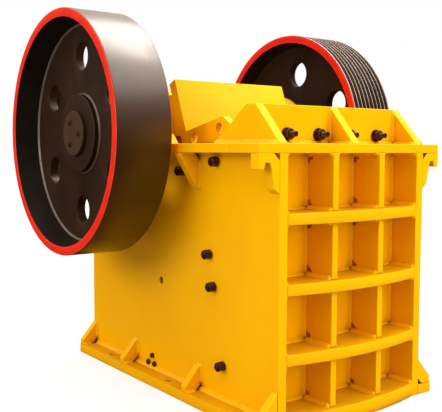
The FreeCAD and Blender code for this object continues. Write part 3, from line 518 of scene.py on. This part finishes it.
def washer(stock, place, axis, radius, thick):
    turn(stock, place, axis, [
        (0.0, radius), (thick - 0.001, radius), (thick, radius - 0.001), (thick, 0.5 * radius)])


THREAD_PITCH = 0.004
THREAD_DEPTH = 0.0018


def stud(stock, place, axis, radius, length):
    """A threaded end, drawn as turned rings with a chamfered tip."""
    rings = [(0.0, radius)]
    for turn_number in range(max(1, int((length - 0.003) / THREAD_PITCH))):
        level = turn_number * THREAD_PITCH
        rings += [(level + 0.4 * THREAD_PITCH, radius), (level + 0.75 * THREAD_PITCH, radius - THREAD_DEPTH)]
    rings += [(length - 0.002, radius), (length, radius - 0.002)]
    turn(stock, place, axis, rings, 24)


def fastener(stock, place, axis, flats, washer_thick, thick, free):
    """Washer, nut and a free length of thread past it. Only the thread's outer end is made."""
    axis = axis.normalized()
    if washer_thick:
        washer(stock, place, axis, 0.66 * flats, washer_thick)
    nut(stock, place + axis * washer_thick, axis, flats, thick)
    stud(stock, place + axis * (washer_thick + 0.6 * thick), axis, 0.29 * flats, 0.4 * thick + free)


def head(stock, place, axis, flats, thick):
    """A plain hexagon head with a chamfered top."""
    outline = hexagon(flats)
    turn(stock, place, axis, [
        (0.0, outline), (chamfer_fall(flats, thick, 1), outline), (thick, TOP_RADIUS * flats)])


RIPPLE = 0.013
RIPPLE_STEPS = 3
chance = random.Random(11)


def ripple(size, step):
    """Leg length and fullness of a bead at one step along it."""
    crest = (step % RIPPLE_STEPS) / RIPPLE_STEPS
    return size * (1.0 + 0.09 * crest + chance.uniform(-0.05, 0.05)), 0.53 + 0.07 * crest


def weld(stock, start, end, leg_one, leg_two, size):
    """A fillet bead of overlapping ripples; the legs point away from the corner along both plates."""
    start, end = Vector(start), Vector(end)
    one, two = Vector(leg_one).normalized(), Vector(leg_two).normalized()
    run = end - start
    ahead = run.normalized()
    steps = max(4, round(run.length / RIPPLE) * RIPPLE_STEPS)
    rings = []
    for step in range(steps + 1):
        from_end = min(step, steps - step)
        taper = 0.45 + 0.55 * min(1.0, from_end / 3)
        reach, bulge = ripple(size * taper, step)
        root = start + run * (step / steps)
        lead = ahead * (size * 0.28 * taper if 0 < step < steps else 0.0)
        rings.append([
            root - (one + two) * (0.1 * size),
            root + one * reach,
            root + (one * 0.80 + two * 0.30) * reach + lead * 0.6,
            root + (one + two) * (bulge * reach) + lead,
            root + (one * 0.30 + two * 0.80) * reach + lead * 0.6,
            root + two * reach,
        ])
    stock.tube(rings)


def weld_round(stock, centre, axis, radius, size, start_angle, end_angle):
    """A bead round a boss that stands on a plate."""
    axis = Vector(axis).normalized()
    first, second = Vector((0, 1, 0)), Vector((0, 0, 1))
    steps = round(abs(end_angle - start_angle) * radius / RIPPLE) * RIPPLE_STEPS
    rings = []
    for step in range(steps + 1):
        angle = start_angle + (end_angle - start_angle) * step / steps
        out = first * math.cos(angle) + second * math.sin(angle)
        root = centre + out * radius
        reach, bulge = ripple(size, step)
        rings.append([
            root - (out + axis) * (0.1 * size), root + out * reach, root + (out + axis) * (bulge * reach),
            root + axis * reach])
    stock.tube(rings)


def rounded(corners, arc_steps=4):
    """An outline of (across, up, radius) corners with each corner eased to an arc."""
    points = []
    count = len(corners)
    for index, (x, y, radius) in enumerate(corners):
        corner = Vector((x, y))
        before = Vector(corners[index - 1][:2]) - corner
        after = Vector(corners[(index + 1) % count][:2]) - corner
        if radius <= 0.0:
            points.append((x, y))
            continue
        before.normalize(), after.normalize()
        half = before.angle(after) / 2
        centre = corner + (before + after).normalized() * (radius / math.sin(half))
        first = corner + before * (radius / math.tan(half)) - centre
        last = corner + after * (radius / math.tan(half)) - centre
        for step in range(arc_steps + 1):
            spoke = first.lerp(last, step / arc_steps)
            spoke = centre + spoke.normalized() * radius
            points.append((spoke.x, spoke.y))
    return points


# ---- wheels ---------------------------------------------------------------------------------------

WHEEL_SIDES = 168
SEAT_RADIUS = 0.1
SKIN_DEPTH = 0.0016
RIM_WALL = 0.054
HOLE_COUNT = 6
HOLE_RING = 0.475
HOLE_EASE = 0.004
TREAD_ZONE, BORE_SHADE_ZONE, LAND_HIGHLIGHT_ZONE = 1, 2, 3


def lathe(profile, side):
    """Turns an outline of (distance from the middle plane, radius) about the shaft axis."""
    rings = []
    for step in range(WHEEL_SIDES):
        angle = math.tau * step / WHEEL_SIDES
        back, up = math.sin(angle), math.cos(angle)
        rings.append([Vector((side * along, SHAFT_Y + radius * back, SHAFT_Z + radius * up))
                      for along, radius in profile])
    stock = Stock()
    stock.tube(rings, closed=True)
    return stock


def hole_cutters(side, web_in, web_out, hole_radius):
    """Six bars with flared ends, which leave eased edges where they pass the web."""
    depth = web_out - web_in
    levels = [(-0.03, hole_radius + HOLE_EASE)]
    for step in range(5):
        bend = math.sin(math.pi / 2 * step / 4)
        flare = HOLE_EASE - HOLE_EASE * math.sqrt(max(0.0, 1 - (1 - bend) ** 2))
        levels.append((HOLE_EASE * bend, hole_radius + flare))
    levels += [(depth - level, radius) for level, radius in reversed(levels)]
    stock = Stock()
    for number in range(HOLE_COUNT):
        angle = math.tau * number / HOLE_COUNT
        centre = Vector((side * web_in, SHAFT_Y + HOLE_RING * math.sin(angle),
                         SHAFT_Z + HOLE_RING * math.cos(angle)))
        turn(stock, centre, Vector((side, 0, 0)), levels, 48)
    return stock


def pierced(mesh, cutter):
    """The mesh with the cutter's bars taken out of it."""
    solid = bpy.data.objects.new("uncut", mesh)
    bars = bpy.data.objects.new("bars", cutter)
    for thing in (solid, bars):
        bpy.context.scene.collection.objects.link(thing)
    holes = solid.modifiers.new("holes", "BOOLEAN")
    holes.operation = "DIFFERENCE"
    holes.solver = "EXACT"
    holes.object = bars
    bpy.context.view_layer.update()
    made = bpy.data.meshes.new_from_object(solid.evaluated_get(bpy.context.evaluated_depsgraph_get()))
    for thing in (solid, bars):
        bpy.data.objects.remove(thing)
    return made


def grooved_tread(rim_in, rim_out):
    """The sheave's tread from its inner to its outer edge, with nine V grooves."""
    pitch, depth, floor, land, count = 0.037, 0.026, 0.012, 0.005, 9
    centre = (rim_in + rim_out) / 2
    corners = []
    for number in range(count):
        middle = centre + (number - (count - 1) / 2) * pitch
        half_top = (pitch - land) / 2
        corners += [(middle - half_top, WHEEL, 0.0012), (middle - floor / 2, WHEEL - depth, 0.002),
                    (middle + floor / 2, WHEEL - depth, 0.002), (middle + half_top, WHEEL, 0.0012)]
    return corners


def highlight_fillet_ring(name, side, along, radius, away, size):
    """The fillet in the corner of the web and a ring, painted lighter as a painted highlight; away is +1
    outside the ring, -1 inside.
    """
    back, edge = radius - away * 0.003, radius + away * size
    outline = [(along - 0.002, back), (along - 0.002, edge), (along + 0.0012, edge),
               (along + size, radius + away * 0.0005), (along + size, back)]
    fit(lathe(outline, side).mesh(name), name, ROTOR, FILLET_HIGHLIGHT)


def rim_stripe(name, side, face, inward, mouth):
    """The red paint on one side face of a rim."""
    back = face + inward * SKIN_DEPTH * 1.2
    outline = rounded([(back, mouth + 0.0015, 0.0), (face, mouth + 0.0015, 0.0009),
                       (face, WHEEL - 0.0022, 0.0009), (back, WHEEL - 0.0022, 0.0)], 2)
    fit(lathe(outline, side).mesh(name), name, ROTOR, RIM_RED)


def span_along(node, side):
    """Distances of a node's two ends from the middle plane, the nearer one first."""
    low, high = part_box(node)
    return sorted((side * low.x, side * high.x))


def wheel(word, side, grooved, hole_radius):
    """One casting of rim, web and hub, with its red painted rim faces, its corner fillets lighter as a painted
    highlight and a darker rim bore as painted shade.
    """
    nodes = tuple(f"{word}_{part}" for part in ("rim", "web", "hub"))
    rim_in, rim_out = span_along(nodes[0], side)
    web_in, web_out = span_along(nodes[1], side)
    hub_in, hub_out = span_along(nodes[2], side)
    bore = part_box(nodes[1])[1].z - SHAFT_Z
    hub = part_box(nodes[2])[1].z - SHAFT_Z
    mouth = WHEEL - RIM_WALL
    face_in, face_out = rim_in + SKIN_DEPTH, rim_out - SKIN_DEPTH
    profile = rounded([
        (hub_in, SEAT_RADIUS, 0.0), (hub_in, hub, 0.006), (web_in, hub, 0.020), (web_in, bore, 0.024),
        (face_in, mouth, 0.003), (face_in, WHEEL, 0.004),
        *(grooved_tread(rim_in, rim_out) if grooved else ()),
        (face_out, WHEEL, 0.004), (face_out, mouth, 0.003), (web_out, bore, 0.004),
        (web_out, hub, 0.004), (hub_out, hub, 0.006), (hub_out, SEAT_RADIUS, 0.0)])
    name = f"{word}_casting"
    holes = hole_cutters(side, web_in, web_out, hole_radius)
    casting = pierced(lathe(profile, side).mesh(name), holes.mesh("bars"))
    fit(casting, name, ROTOR, WHEEL_BROWN, nodes)
    for finish in (GROOVE_STEEL if grooved else TREAD, RIM_BORE_SHADE, LAND_HIGHLIGHT_STEEL):
        casting.materials.append(finish)
    # a face's finish goes by its radius: land tops take a light copy of the groove steel as a painted
    # highlight, the tread its turned finish, the rim's bore a darker enamel as painted shade; what lies inside
    # the rim keeps the casting's own enamel
    tread_floor = WHEEL - (0.027 if grooved else 0.0035)
    axis = Vector((0, SHAFT_Y, SHAFT_Z))
    for polygon in casting.polygons:
        reach = (Vector((0, polygon.center.y, polygon.center.z)) - axis).length
        if grooved and reach > WHEEL - 0.0018:
            polygon.material_index = LAND_HIGHLIGHT_ZONE
        elif reach > tread_floor:
            polygon.material_index = TREAD_ZONE
        elif reach > bore + 0.001:
            polygon.material_index = BORE_SHADE_ZONE
    highlight_fillet_ring(f"{word}_web_fillet_highlight", side, web_out, bore, -1, 0.010)
    highlight_fillet_ring(f"{word}_hub_fillet_highlight", side, web_out, hub, 1, 0.009)
    rim_stripe(f"{word}_rim_paint_inner", side, rim_in, 1, mouth)
    rim_stripe(f"{word}_rim_paint_outer", side, rim_out, -1, mouth)


# ---- CAD nodes that stay ----------------------------------------------------------------------------


def soften(node, finish, width=0.004):
    """Keeps a CAD node, with its edges eased and its finish on."""
    thing = frame["nodes"][node]
    thing.data.materials.clear()
    thing.data.materials.append(finish)
    joined = thing.modifiers.new("joined", "WELD")
    joined.merge_threshold = 0.00002
    flat = thing.modifiers.new("flat", "DECIMATE")
    flat.decimate_type = "DISSOLVE"
    flat.angle_limit = math.radians(0.3)
    eased = thing.modifiers.new("eased", "BEVEL")
    eased.width = width
    eased.segments = 2
    eased.limit_method = "ANGLE"
    eased.angle_limit = SMOOTH_LIMIT
    eased.harden_normals = True


def dress_nodes():
    replaced = {"flywheel_rim", "flywheel_web", "flywheel_hub", "sheave_rim", "sheave_web", "sheave_hub",
                "fixed_jaw_plate", "moving_jaw_plate", "tension_springs"}
    others = {"eccentric_shaft": SHAFT_STEEL, "shaft_end_caps": CAP_BROWN,
              "tension_rods": BLACK_STEEL, "toggle_plate": BLACK_STEEL}
    for node in frame["nodes"]:
        if node in others:
            soften(node, others[node], 0.003)
        elif node not in replaced:
            soften(node, YELLOW)


# ---- jaw plates -------------------------------------------------------------------------------------


TOOTH_DEPTH = 0.032
TOOTH = ((0.0, 0.0), (0.08, 0.25), (0.28, 0.92), (0.37, 1.0), (0.63, 1.0), (0.72, 0.92), (0.92, 0.25))
PLATE_ENDS = ((0.0, 0.55), (0.015, 0.9), (0.03, 1.0), (0.97, 1.0), (0.985, 0.9), (1.0, 0.55))


def toothed_plate(name, body, node, half, foot, top, out, depth, teeth, shifted):
    """A jaw plate with upright teeth. Foot and top are the (Y, Z) ends of its toothed face."""
    pitch = 2 * half / teeth
    start = -half + (0.5 * pitch if shifted else 0.0)
    edge = 0.25 if shifted else 0.0
    spots = [(start + (tooth + share) * pitch, level) for tooth in range(teeth) for share, level in TOOTH]
    face = [(-half, edge), *[spot for spot in spots if -half < spot[0] < half], (half, edge)]
    foot, top = Vector((0, *foot)), Vector((0, *top))
    out = Vector((0, *out)).normalized()
    rings = []
    for share, cut in PLATE_ENDS:
        place = foot + (top - foot) * share
        ring = [place + Vector((along, 0, 0)) - out * (TOOTH_DEPTH * (1 - level * cut))
                for along, level in face]
        ring += [place + Vector((end, 0, 0)) - out * depth for end in (half, -half)]
        rings.append(ring)
    stock = Stock()
    stock.tube(rings)
    fit(stock.mesh(name), name, body, JAW_STEEL, (node,))


def jaw_plates():
    low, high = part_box("fixed_jaw_plate")
    toothed_plate("fixed_jaw_teeth", FRAME, "fixed_jaw_plate", high.x, (high.y, low.z), (high.y, high.z),
                  (1, 0), high.y - low.y, 14, False)
    low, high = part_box("moving_jaw_plate")
    thick = 0.090
    lean = (high.y - thick - low.y) / (high.z - low.z)
    toothed_plate("moving_jaw_teeth", JAW, "moving_jaw_plate", high.x, (low.y, low.z), (high.y - thick, high.z),
                  (-1.0, lean), thick * math.cos(math.atan(lean)), 12, True)


# ---- welds ----------------------------------------------------------------------------------------


POCKET_BEAD = 0.013
SCALLOP = 0.056


def cell_welds(stock, x_span, z_span, wall, out, reaches, corner_bead):
    """The beads of one pocket: round its back and along its four edges. Out is +1 or -1 along Y."""
    away = (0, out, 0)
    for level, up in zip(z_span, (1, -1)):
        weld(stock, (x_span[0], wall, level), (x_span[1], wall, level), away, (0, 0, up), POCKET_BEAD)
        for place, inward, reach in zip(x_span, (1, -1), reaches):
            weld(stock, (place, wall, level), (place, reach, level), (inward, 0, 0), (0, 0, up), corner_bead)
    for place, inward in zip(x_span, (1, -1)):
        weld(stock, (place, wall, z_span[0]), (place, wall, z_span[1]), away, (inward, 0, 0), POCKET_BEAD)


def scallops(stock, place, inward, z_span):
    """Burnt quarter rounds in a front stiffener's inner corners, where it was clipped to clear the seams."""
    for level, up in zip(z_span, (1, -1)):
        outline = [Vector((0, FRONT_FACE, level))]
        for step in range(9):
            angle = math.pi / 2 * step / 8
            reach = SCALLOP * (1.0 + chance.uniform(-0.14, 0.14))
            ahead, along = reach * math.cos(angle), reach * math.sin(angle)
            outline.append(Vector((0, FRONT_FACE - ahead, level + up * along)))
        stock.tube([[spot + Vector((depth, 0, 0)) for spot in outline]
                    for depth in (place - inward * 0.001, place + inward * 0.0008)])


def wall_columns():
    """X spans of the pockets between the walls and the two stiffeners."""
    near, far = stiffener_low.x, stiffener_high.x
    return [(-WALL_IN, -far), (-near, near), (far, WALL_IN)]


def on_wall(place):
    """Whether a pocket's side at this X is a side wall. If not, it is a stiffener."""
    return abs(place) > stiffener_high.x + 0.01


def pocket_welds(name, levels, wall, out, wall_reach, stiffener_reach, corner_bead):
    stock = Stock()
    for x_span in wall_columns():
        reaches = [wall_reach if on_wall(place) else stiffener_reach for place in x_span]
        for z_span in levels:
            cell_welds(stock, x_span, z_span, wall, out, reaches, corner_bead)
    fit(stock.mesh(name), name, FRAME, WELD_YELLOW)


def frame_welds():
    tops = [top for _, top in RIBS]
    undersides = [under for under, _ in RIBS[1:]] + [FLANGE_UNDER]
    levels = list(zip(tops, undersides))
    pocket_welds("front_pocket_welds", levels, FRONT_FACE, -1, FRONT + 0.003, stiffener_low.y + 0.004, 0.021)
    burnt = Stock()
    for x_span in wall_columns():
        for place, inward in zip(x_span, (1, -1)):
            if on_wall(place):
                continue
            for z_span in levels:
                scallops(burnt, place, inward, z_span)
    fit(burnt.mesh("front_pocket_scallops"), "front_pocket_scallops", FRAME, BURNT_STEEL)
    rear_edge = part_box("rear_stiffeners")[1].y - 0.006
    pocket_welds("rear_pocket_welds", levels[:-1], rear_face, 1, REAR - 0.012, rear_edge, 0.016)


def hopper_welds():
    """Beads of the ears, the front plate's gusset and the flange, the same on both sides."""
    stock = Stock()
    foot, crown = ear_low.y + 0.006, ear_high.y - 0.01
    top, under, half = FLANGE_TOP, FLANGE_UNDER, gusset_high.x
    knee_low, knee_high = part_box("flange_gussets_right")
    # each gusset face under the flange: its Y, the way it looks, and how far down its bead runs
    knees = ((knee_low.y + 0.068, 1, 0.20), (knee_high.y - 0.055, -1, 0.21), (knee_high.y, 1, 0.21))
    for side, _ in SIDES:
        wall_out, wall_in, gusset = side * WALL_OUT, side * WALL_IN, side * half
        outward, inward, up, down, ahead = (side, 0, 0), (-side, 0, 0), (0, 0, 1), (0, 0, -1), (0, -1, 0)
        weld(stock, (wall_out, foot, top), (wall_out, crown, top), outward, up, 0.022)
        weld(stock, (wall_in, foot, top), (wall_in, FRONT_FACE, top), inward, up, 0.016)
        weld(stock, (wall_in, FRONT_FACE, top), (wall_in, FRONT_FACE, ear_high.z - 0.016), inward, ahead, 0.014)
        weld(stock, (gusset, gusset_low.y + 0.008, top), (gusset, FRONT_FACE, top), outward, up, 0.016)
        weld(stock, (gusset, FRONT_FACE, top), (gusset, FRONT_FACE, ear_high.z - 0.012), outward, ahead, 0.014)
        weld(stock, (gusset, FRONT_FACE, top), (wall_in, FRONT_FACE, top), ahead, up, 0.018)
        weld(stock, (wall_out, FRONT + 0.008, under), (wall_out, flange_rear - 0.01, under),
             outward, down, 0.013)
        for face, looks, drop in knees:
            away = (0, looks, 0)
            weld(stock, (wall_out, face, under - 0.042), (wall_out, face, under - drop), outward, away, 0.012)
            weld(stock, (side * (WALL_OUT + 0.042), face, under), (side * (FLANGE_EDGE - 0.006), face, under),
                 away, down, 0.012)
    fit(stock.mesh("hopper_welds"), "hopper_welds", FRAME, WELD_YELLOW)


GUSSET_STARTS = (0.004, 0.684, 1.416, 2.004)
GUSSET_THICK = 0.048


def base_welds():
    """Beads of the base plates and their gussets, and round the bearing housings."""
    stock = Stock()
    top = base_high.z
    faces = [face for start in GUSSET_STARTS
             for face in ((FRONT + start, -1), (FRONT + start + GUSSET_THICK, 1))
             if FRONT + 0.02 < face[0] < REAR - 0.02]
    for side, _ in SIDES:
        wall, outward, up = side * WALL_OUT, (side, 0, 0), (0, 0, 1)
        weld(stock, (wall, FRONT + 0.056, top), (wall, REAR - 0.056, top), outward, up, 0.020)
        for face, looks in faces:
            away = (0, looks, 0)
            weld(stock, (wall, face, top + 0.042), (wall, face, top + 0.155), outward, away, 0.014)
            weld(stock, (side * (WALL_OUT + 0.042), face, top), (side * (base_high.x - 0.004), face, top),
                 away, up, 0.014)
        weld_round(stock, Vector((wall, SHAFT_Y, SHAFT_Z)), outward, housing_high.y - SHAFT_Y, 0.014,
                   math.pi + 0.02, math.tau - 0.02)
    fit(stock.mesh("base_and_housing_welds"), "base_and_housing_welds", FRAME, WELD_YELLOW)


# ---- bolts ----------------------------------------------------------------------------------------

# nuts as flats, washer, thickness and free thread; heads as flats and thickness
HOPPER_NUT = (0.054, 0.010, 0.032, 0.038)
WALL_NUT = (0.048, 0.0, 0.046, 0.009)
HOUSING_NUT = (0.036, 0.004, 0.022, 0.010)
SMALL_HEAD = (0.030, 0.016)
COVER_HEAD = (0.026, 0.012)
CAP_HEAD = (0.032, 0.008)

HOPPER_BOLTS = (0.115, 0.345)
HOPPER_BOLT_RISE = 0.051
WALL_BOLTS = ((-0.34, 0.865), (-0.38, 0.685), (-0.47, 0.25), (-0.405, 1.39), (-0.06, 1.33))
SMALL_BOLTS = ((0.287, 0.140), (0.335, 0.090), (0.262, 0.090))


def frame_bolts():
    stock = Stock()
    for place in HOPPER_BOLTS:
        for side, _ in SIDES:
            centre = Vector((side * place, FRONT_FACE, FLANGE_TOP + HOPPER_BOLT_RISE))
            fastener(stock, centre, Vector((0, -1, 0)), *HOPPER_NUT)
    fit(stock.mesh("hopper_plate_bolts"), "hopper_plate_bolts", FRAME, BLACK_STEEL)
    for side, word in SIDES:
        stock = Stock()
        outward = Vector((side, 0, 0))
        for back, up in WALL_BOLTS:
            fastener(stock, Vector((side * WALL_OUT, back, up)), outward, *WALL_NUT)
        for back, up in SMALL_BOLTS:
            head(stock, Vector((side * WALL_OUT, back, up)), outward, *SMALL_HEAD)
        fit(stock.mesh(f"wall_bolts_{word}"), f"wall_bolts_{word}", FRAME, BLACK_STEEL)


LUG_IN, LUG_OUT = 0.575, 0.695
LUG_REACH = 0.060
LUG_THICK = 0.044
LUG_BOLTS = (0.605, 0.665)
COVER_SCREWS, COVER_RING = 10, 0.266
NIPPLE = [(0.0, 0.012), (0.010, 0.012), (0.012, 0.006), (0.022, 0.006), (0.026, 0.0075), (0.030, 0.0045)]


def housing_fittings():
    """Cap lugs with their bolts, the end cover's screws and a grease nipple on each housing."""
    barrel = housing_high.y - SHAFT_Y
    up = Vector((0, 0, 1))
    lugs, screws = Stock(), Stock()
    for side, _ in SIDES:
        for back in (-1, 1):
            for low in (SHAFT_Z - 0.045, SHAFT_Z + 0.001):
                outline = rounded([(LUG_IN, barrel - 0.02, 0.0), (LUG_IN, barrel + LUG_REACH, 0.012),
                                   (LUG_OUT, barrel + LUG_REACH, 0.012), (LUG_OUT, barrel - 0.02, 0.0)])
                lugs.tube([[Vector((side * x, SHAFT_Y + back * y, low + level)) for x, y in outline]
                           for level in (0.0, LUG_THICK)])
            for place in LUG_BOLTS:
                centre = Vector((side * place, SHAFT_Y + back * (barrel + 0.032), SHAFT_Z + 0.045))
                fastener(screws, centre, up, *HOUSING_NUT)
                nut(screws, centre - up * 0.090, -up, HOUSING_NUT[0], 0.020)
        for number in range(COVER_SCREWS):
            angle = math.tau * (number + 0.5) / COVER_SCREWS
            centre = Vector((side * housing_high.x, SHAFT_Y + COVER_RING * math.cos(angle),
                             SHAFT_Z + COVER_RING * math.sin(angle)))
            head(screws, centre, Vector((side, 0, 0)), *COVER_HEAD)
        turn(screws, Vector((side * 0.635, SHAFT_Y, SHAFT_Z + barrel - 0.002)), up, NIPPLE, 20)
    fit(lugs.mesh("bearing_cap_lugs"), "bearing_cap_lugs", FRAME, YELLOW)
    fit(screws.mesh("bearing_screws"), "bearing_screws", FRAME, BLACK_STEEL)


def shaft_cap_bolts():
    """Three screws in the middle of each shaft end cap."""
    low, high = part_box("shaft_end_caps")
    stock = Stock()
    for side, face in ((-1, low.x), (1, high.x)):
        for angle in (math.pi, math.pi / 3, -math.pi / 3):
            centre = Vector((face, SHAFT_Y + 0.077 * math.cos(angle), SHAFT_Z + 0.077 * math.sin(angle)))
            head(stock, centre, Vector((side, 0, 0)), *CAP_HEAD)
    fit(stock.mesh("shaft_cap_bolts"), "shaft_cap_bolts", ROTOR, BLACK_STEEL)


WIRE = 0.0115
COILS = 6.0
COIL_STEPS = 240
FLAT_END = 0.12


def spring_coils():
    """A coil round each tension rod; the wire lies flat at both ends."""
    low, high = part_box("tension_springs")
    outer = (high.z - low.z) / 2
    run = high.y - low.y - 2 * WIRE
    back = Vector((0, 1, 0))
    stock = Stock()
    for side, _ in SIDES:
        centre = Vector((side * (high.x - outer), 0, (high.z + low.z) / 2))
        rings = []
        for step in range(COIL_STEPS + 1):
            share = step / COIL_STEPS
            climbed = min(1.0, max(0.0, (share - FLAT_END) / (1 - 2 * FLAT_END)))
            angle = math.tau * COILS * share * side
            spoke = Vector((math.cos(angle), 0, math.sin(angle)))
            place = centre + spoke * (outer - WIRE) + Vector((0, low.y + WIRE + run * climbed, 0))
            rings.append([place + (spoke * math.cos(spot) + back * math.sin(spot)) * WIRE
                          for spot in (math.tau * number / 10 for number in range(10))])
        stock.tube(rings)
    fit(stock.mesh("tension_spring_coils"), "tension_spring_coils", FRAME, BLACK_STEEL,
        ("tension_springs",))


# ---- studio ---------------------------------------------------------------------------------------


SKY = ((0.46, (0.020, 0.014, 0.008)), (1.0, (1.0, 0.93, 0.86)), (0.51, (0.055, 0.040, 0.020)),
       (0.62, (0.17, 0.13, 0.085)), (0.78, (0.62, 0.54, 0.45)))
SKY_STRENGTH = 2.25
GLOW = 0.72


def make_world():
    """White to the eye; for the lighting, a bright sky and a brighter rear right over a dim ground."""
    world = bpy.data.worlds.new("studio")
    bpy.context.scene.world = world
    world.use_nodes = True
    bench = Bench(world.node_tree)
    world.node_tree.nodes.clear()
    split = bench.put("SeparateXYZ", Vector=bench.put("TexCoord").outputs["Generated"])
    ramp = bench.put("ValToRGB", Fac=bench.spread(split.outputs["Z"], -1.0, 1.0))
    stops = ramp.color_ramp.elements
    # the ramp comes with two stops: the first two colours go on them, the others on new ones
    for number, (spot, colour) in enumerate(SKY):
        stop = stops[number] if number < 2 else stops.new(spot)
        stop.position, stop.color = spot, rgb(*colour)
    rear = bench.spread(split.outputs["Y"], 0.15, 0.85)
    right = bench.spread(split.outputs["X"], 0.0, 0.5)
    above = bench.spread(split.outputs["Z"], -0.02, 0.10)
    window = bench.calc("MULTIPLY", bench.calc("MULTIPLY", rear, right), above)
    sky = bench.blend(bench.calc("MULTIPLY", window, 0.2), ramp.outputs[0], rgb(1, 0.84, 0.66))
    lighting = bench.put("Background", Color=sky, Strength=SKY_STRENGTH)
    seen = bench.put("Background", Color=rgb(1, 1, 1), Strength=1.0)
    choice = bench.put("MixShader")
    bench.feed(choice.inputs[0], bench.put("LightPath").outputs["Is Camera Ray"])
    bench.feed(choice.inputs[1], lighting.outputs[0])
    bench.feed(choice.inputs[2], seen.outputs[0])
    result = world.node_tree.nodes.new("ShaderNodeOutputWorld")
    bench.feed(result.inputs["Surface"], choice.outputs[0])


def softbox(name, place, aim, size, power, tint=(1, 1, 1), glossy=True, diffuse=True):
    data = bpy.data.lights.new(name, "AREA")
    data.shape = "RECTANGLE"
    data.size, data.size_y = size
    data.energy = power
    data.color = tint
    lamp = bpy.data.objects.new(name, data)
    bpy.context.scene.collection.objects.link(lamp)
    lamp.location = place
    lamp.rotation_euler = (Vector(aim) - Vector(place)).to_track_quat("-Z", "Y").to_euler()
    lamp.visible_glossy, lamp.visible_diffuse = glossy, diffuse


def make_floor():
    """A pale ground that glows to the eye, but not where the frame's four walls shut it in."""
    half, low = 30.0, cad_low.z - 0.002
    stock = Stock()
    stock.add([Vector((x, y, low)) for x, y in ((-half, -half), (half, -half), (half, half), (-half, half))],
              [(0, 1, 2, 3)])
    mesh = stock.mesh("floor")
    finish, bench, shader = blank_finish("pale_floor", 0.0)
    drift = use(bench, DRIFT, Size=1.5, Contrast=0.5)["Drift"]
    bench.feed(shader.inputs["Base Color"], bench.blend(drift, rgb(0.24, 0.235, 0.23), rgb(0.27, 0.265, 0.26)))
    shader.inputs["Roughness"].default_value = 1.0
    shader.inputs["Emission Color"].default_value = rgb(1, 1, 1)
    split = bench.put("SeparateXYZ", Vector=bench.place())
    out_x = bench.spread(bench.calc("ABSOLUTE", split.outputs["X"]), WALL_IN - 0.02, WALL_IN + 0.02)
    middle_y = (FRONT_FACE + rear_face) / 2
    from_middle = bench.calc("ABSOLUTE", bench.calc("SUBTRACT", split.outputs["Y"], middle_y))
    out_y = bench.spread(from_middle, rear_face - middle_y - 0.04, rear_face - middle_y - 0.01)
    glow = bench.calc("MULTIPLY", bench.calc("MAXIMUM", out_x, out_y), GLOW)
    seen = bench.put("LightPath").outputs["Is Camera Ray"]
    bench.feed(shader.inputs["Emission Strength"], bench.calc("MULTIPLY", seen, glow))
    mesh.materials.append(finish)
    floor = bpy.data.objects.new("floor", mesh)
    bpy.context.scene.collection.objects.link(floor)
    floor.visible_glossy = False


def make_studio():
    make_world()
    make_floor()
    middle = (0.0, 0.0, 1.0)
    softbox("front_key", (2.6, -5.2, 4.6), middle, (4.0, 3.0), 190, glossy=False)
    softbox("front_fill", (-0.6, -6.5, 1.8), middle, (4.0, 2.4), 140, glossy=False)
    softbox("front_panel", (2.3, -3.2, 6.9), (-0.9, 0.5, 2.1), (5.0, 4.0), 200, (1.0, 0.87, 0.74),
            diffuse=False)
    softbox("left_soft", (-6.3, 0.6, 2.6), middle, (3.0, 2.4), 185)
    softbox("top_light", (2.0, 0.8, 7.6), (-0.9, 0.3, 2.1), (4.5, 2.9), 500, (1.0, 0.94, 0.85))
    bpy.context.scene.view_settings.view_transform = "Standard"


# ---- the whole ------------------------------------------------------------------------------------

make_camera()
dress_nodes()
wheel("flywheel", -1, False, 0.086)
wheel("sheave", 1, True, 0.0935)
jaw_plates()
frame_welds()
hopper_welds()
base_welds()
frame_bolts()
housing_fittings()
shaft_cap_bolts()
spring_coils()
make_studio()
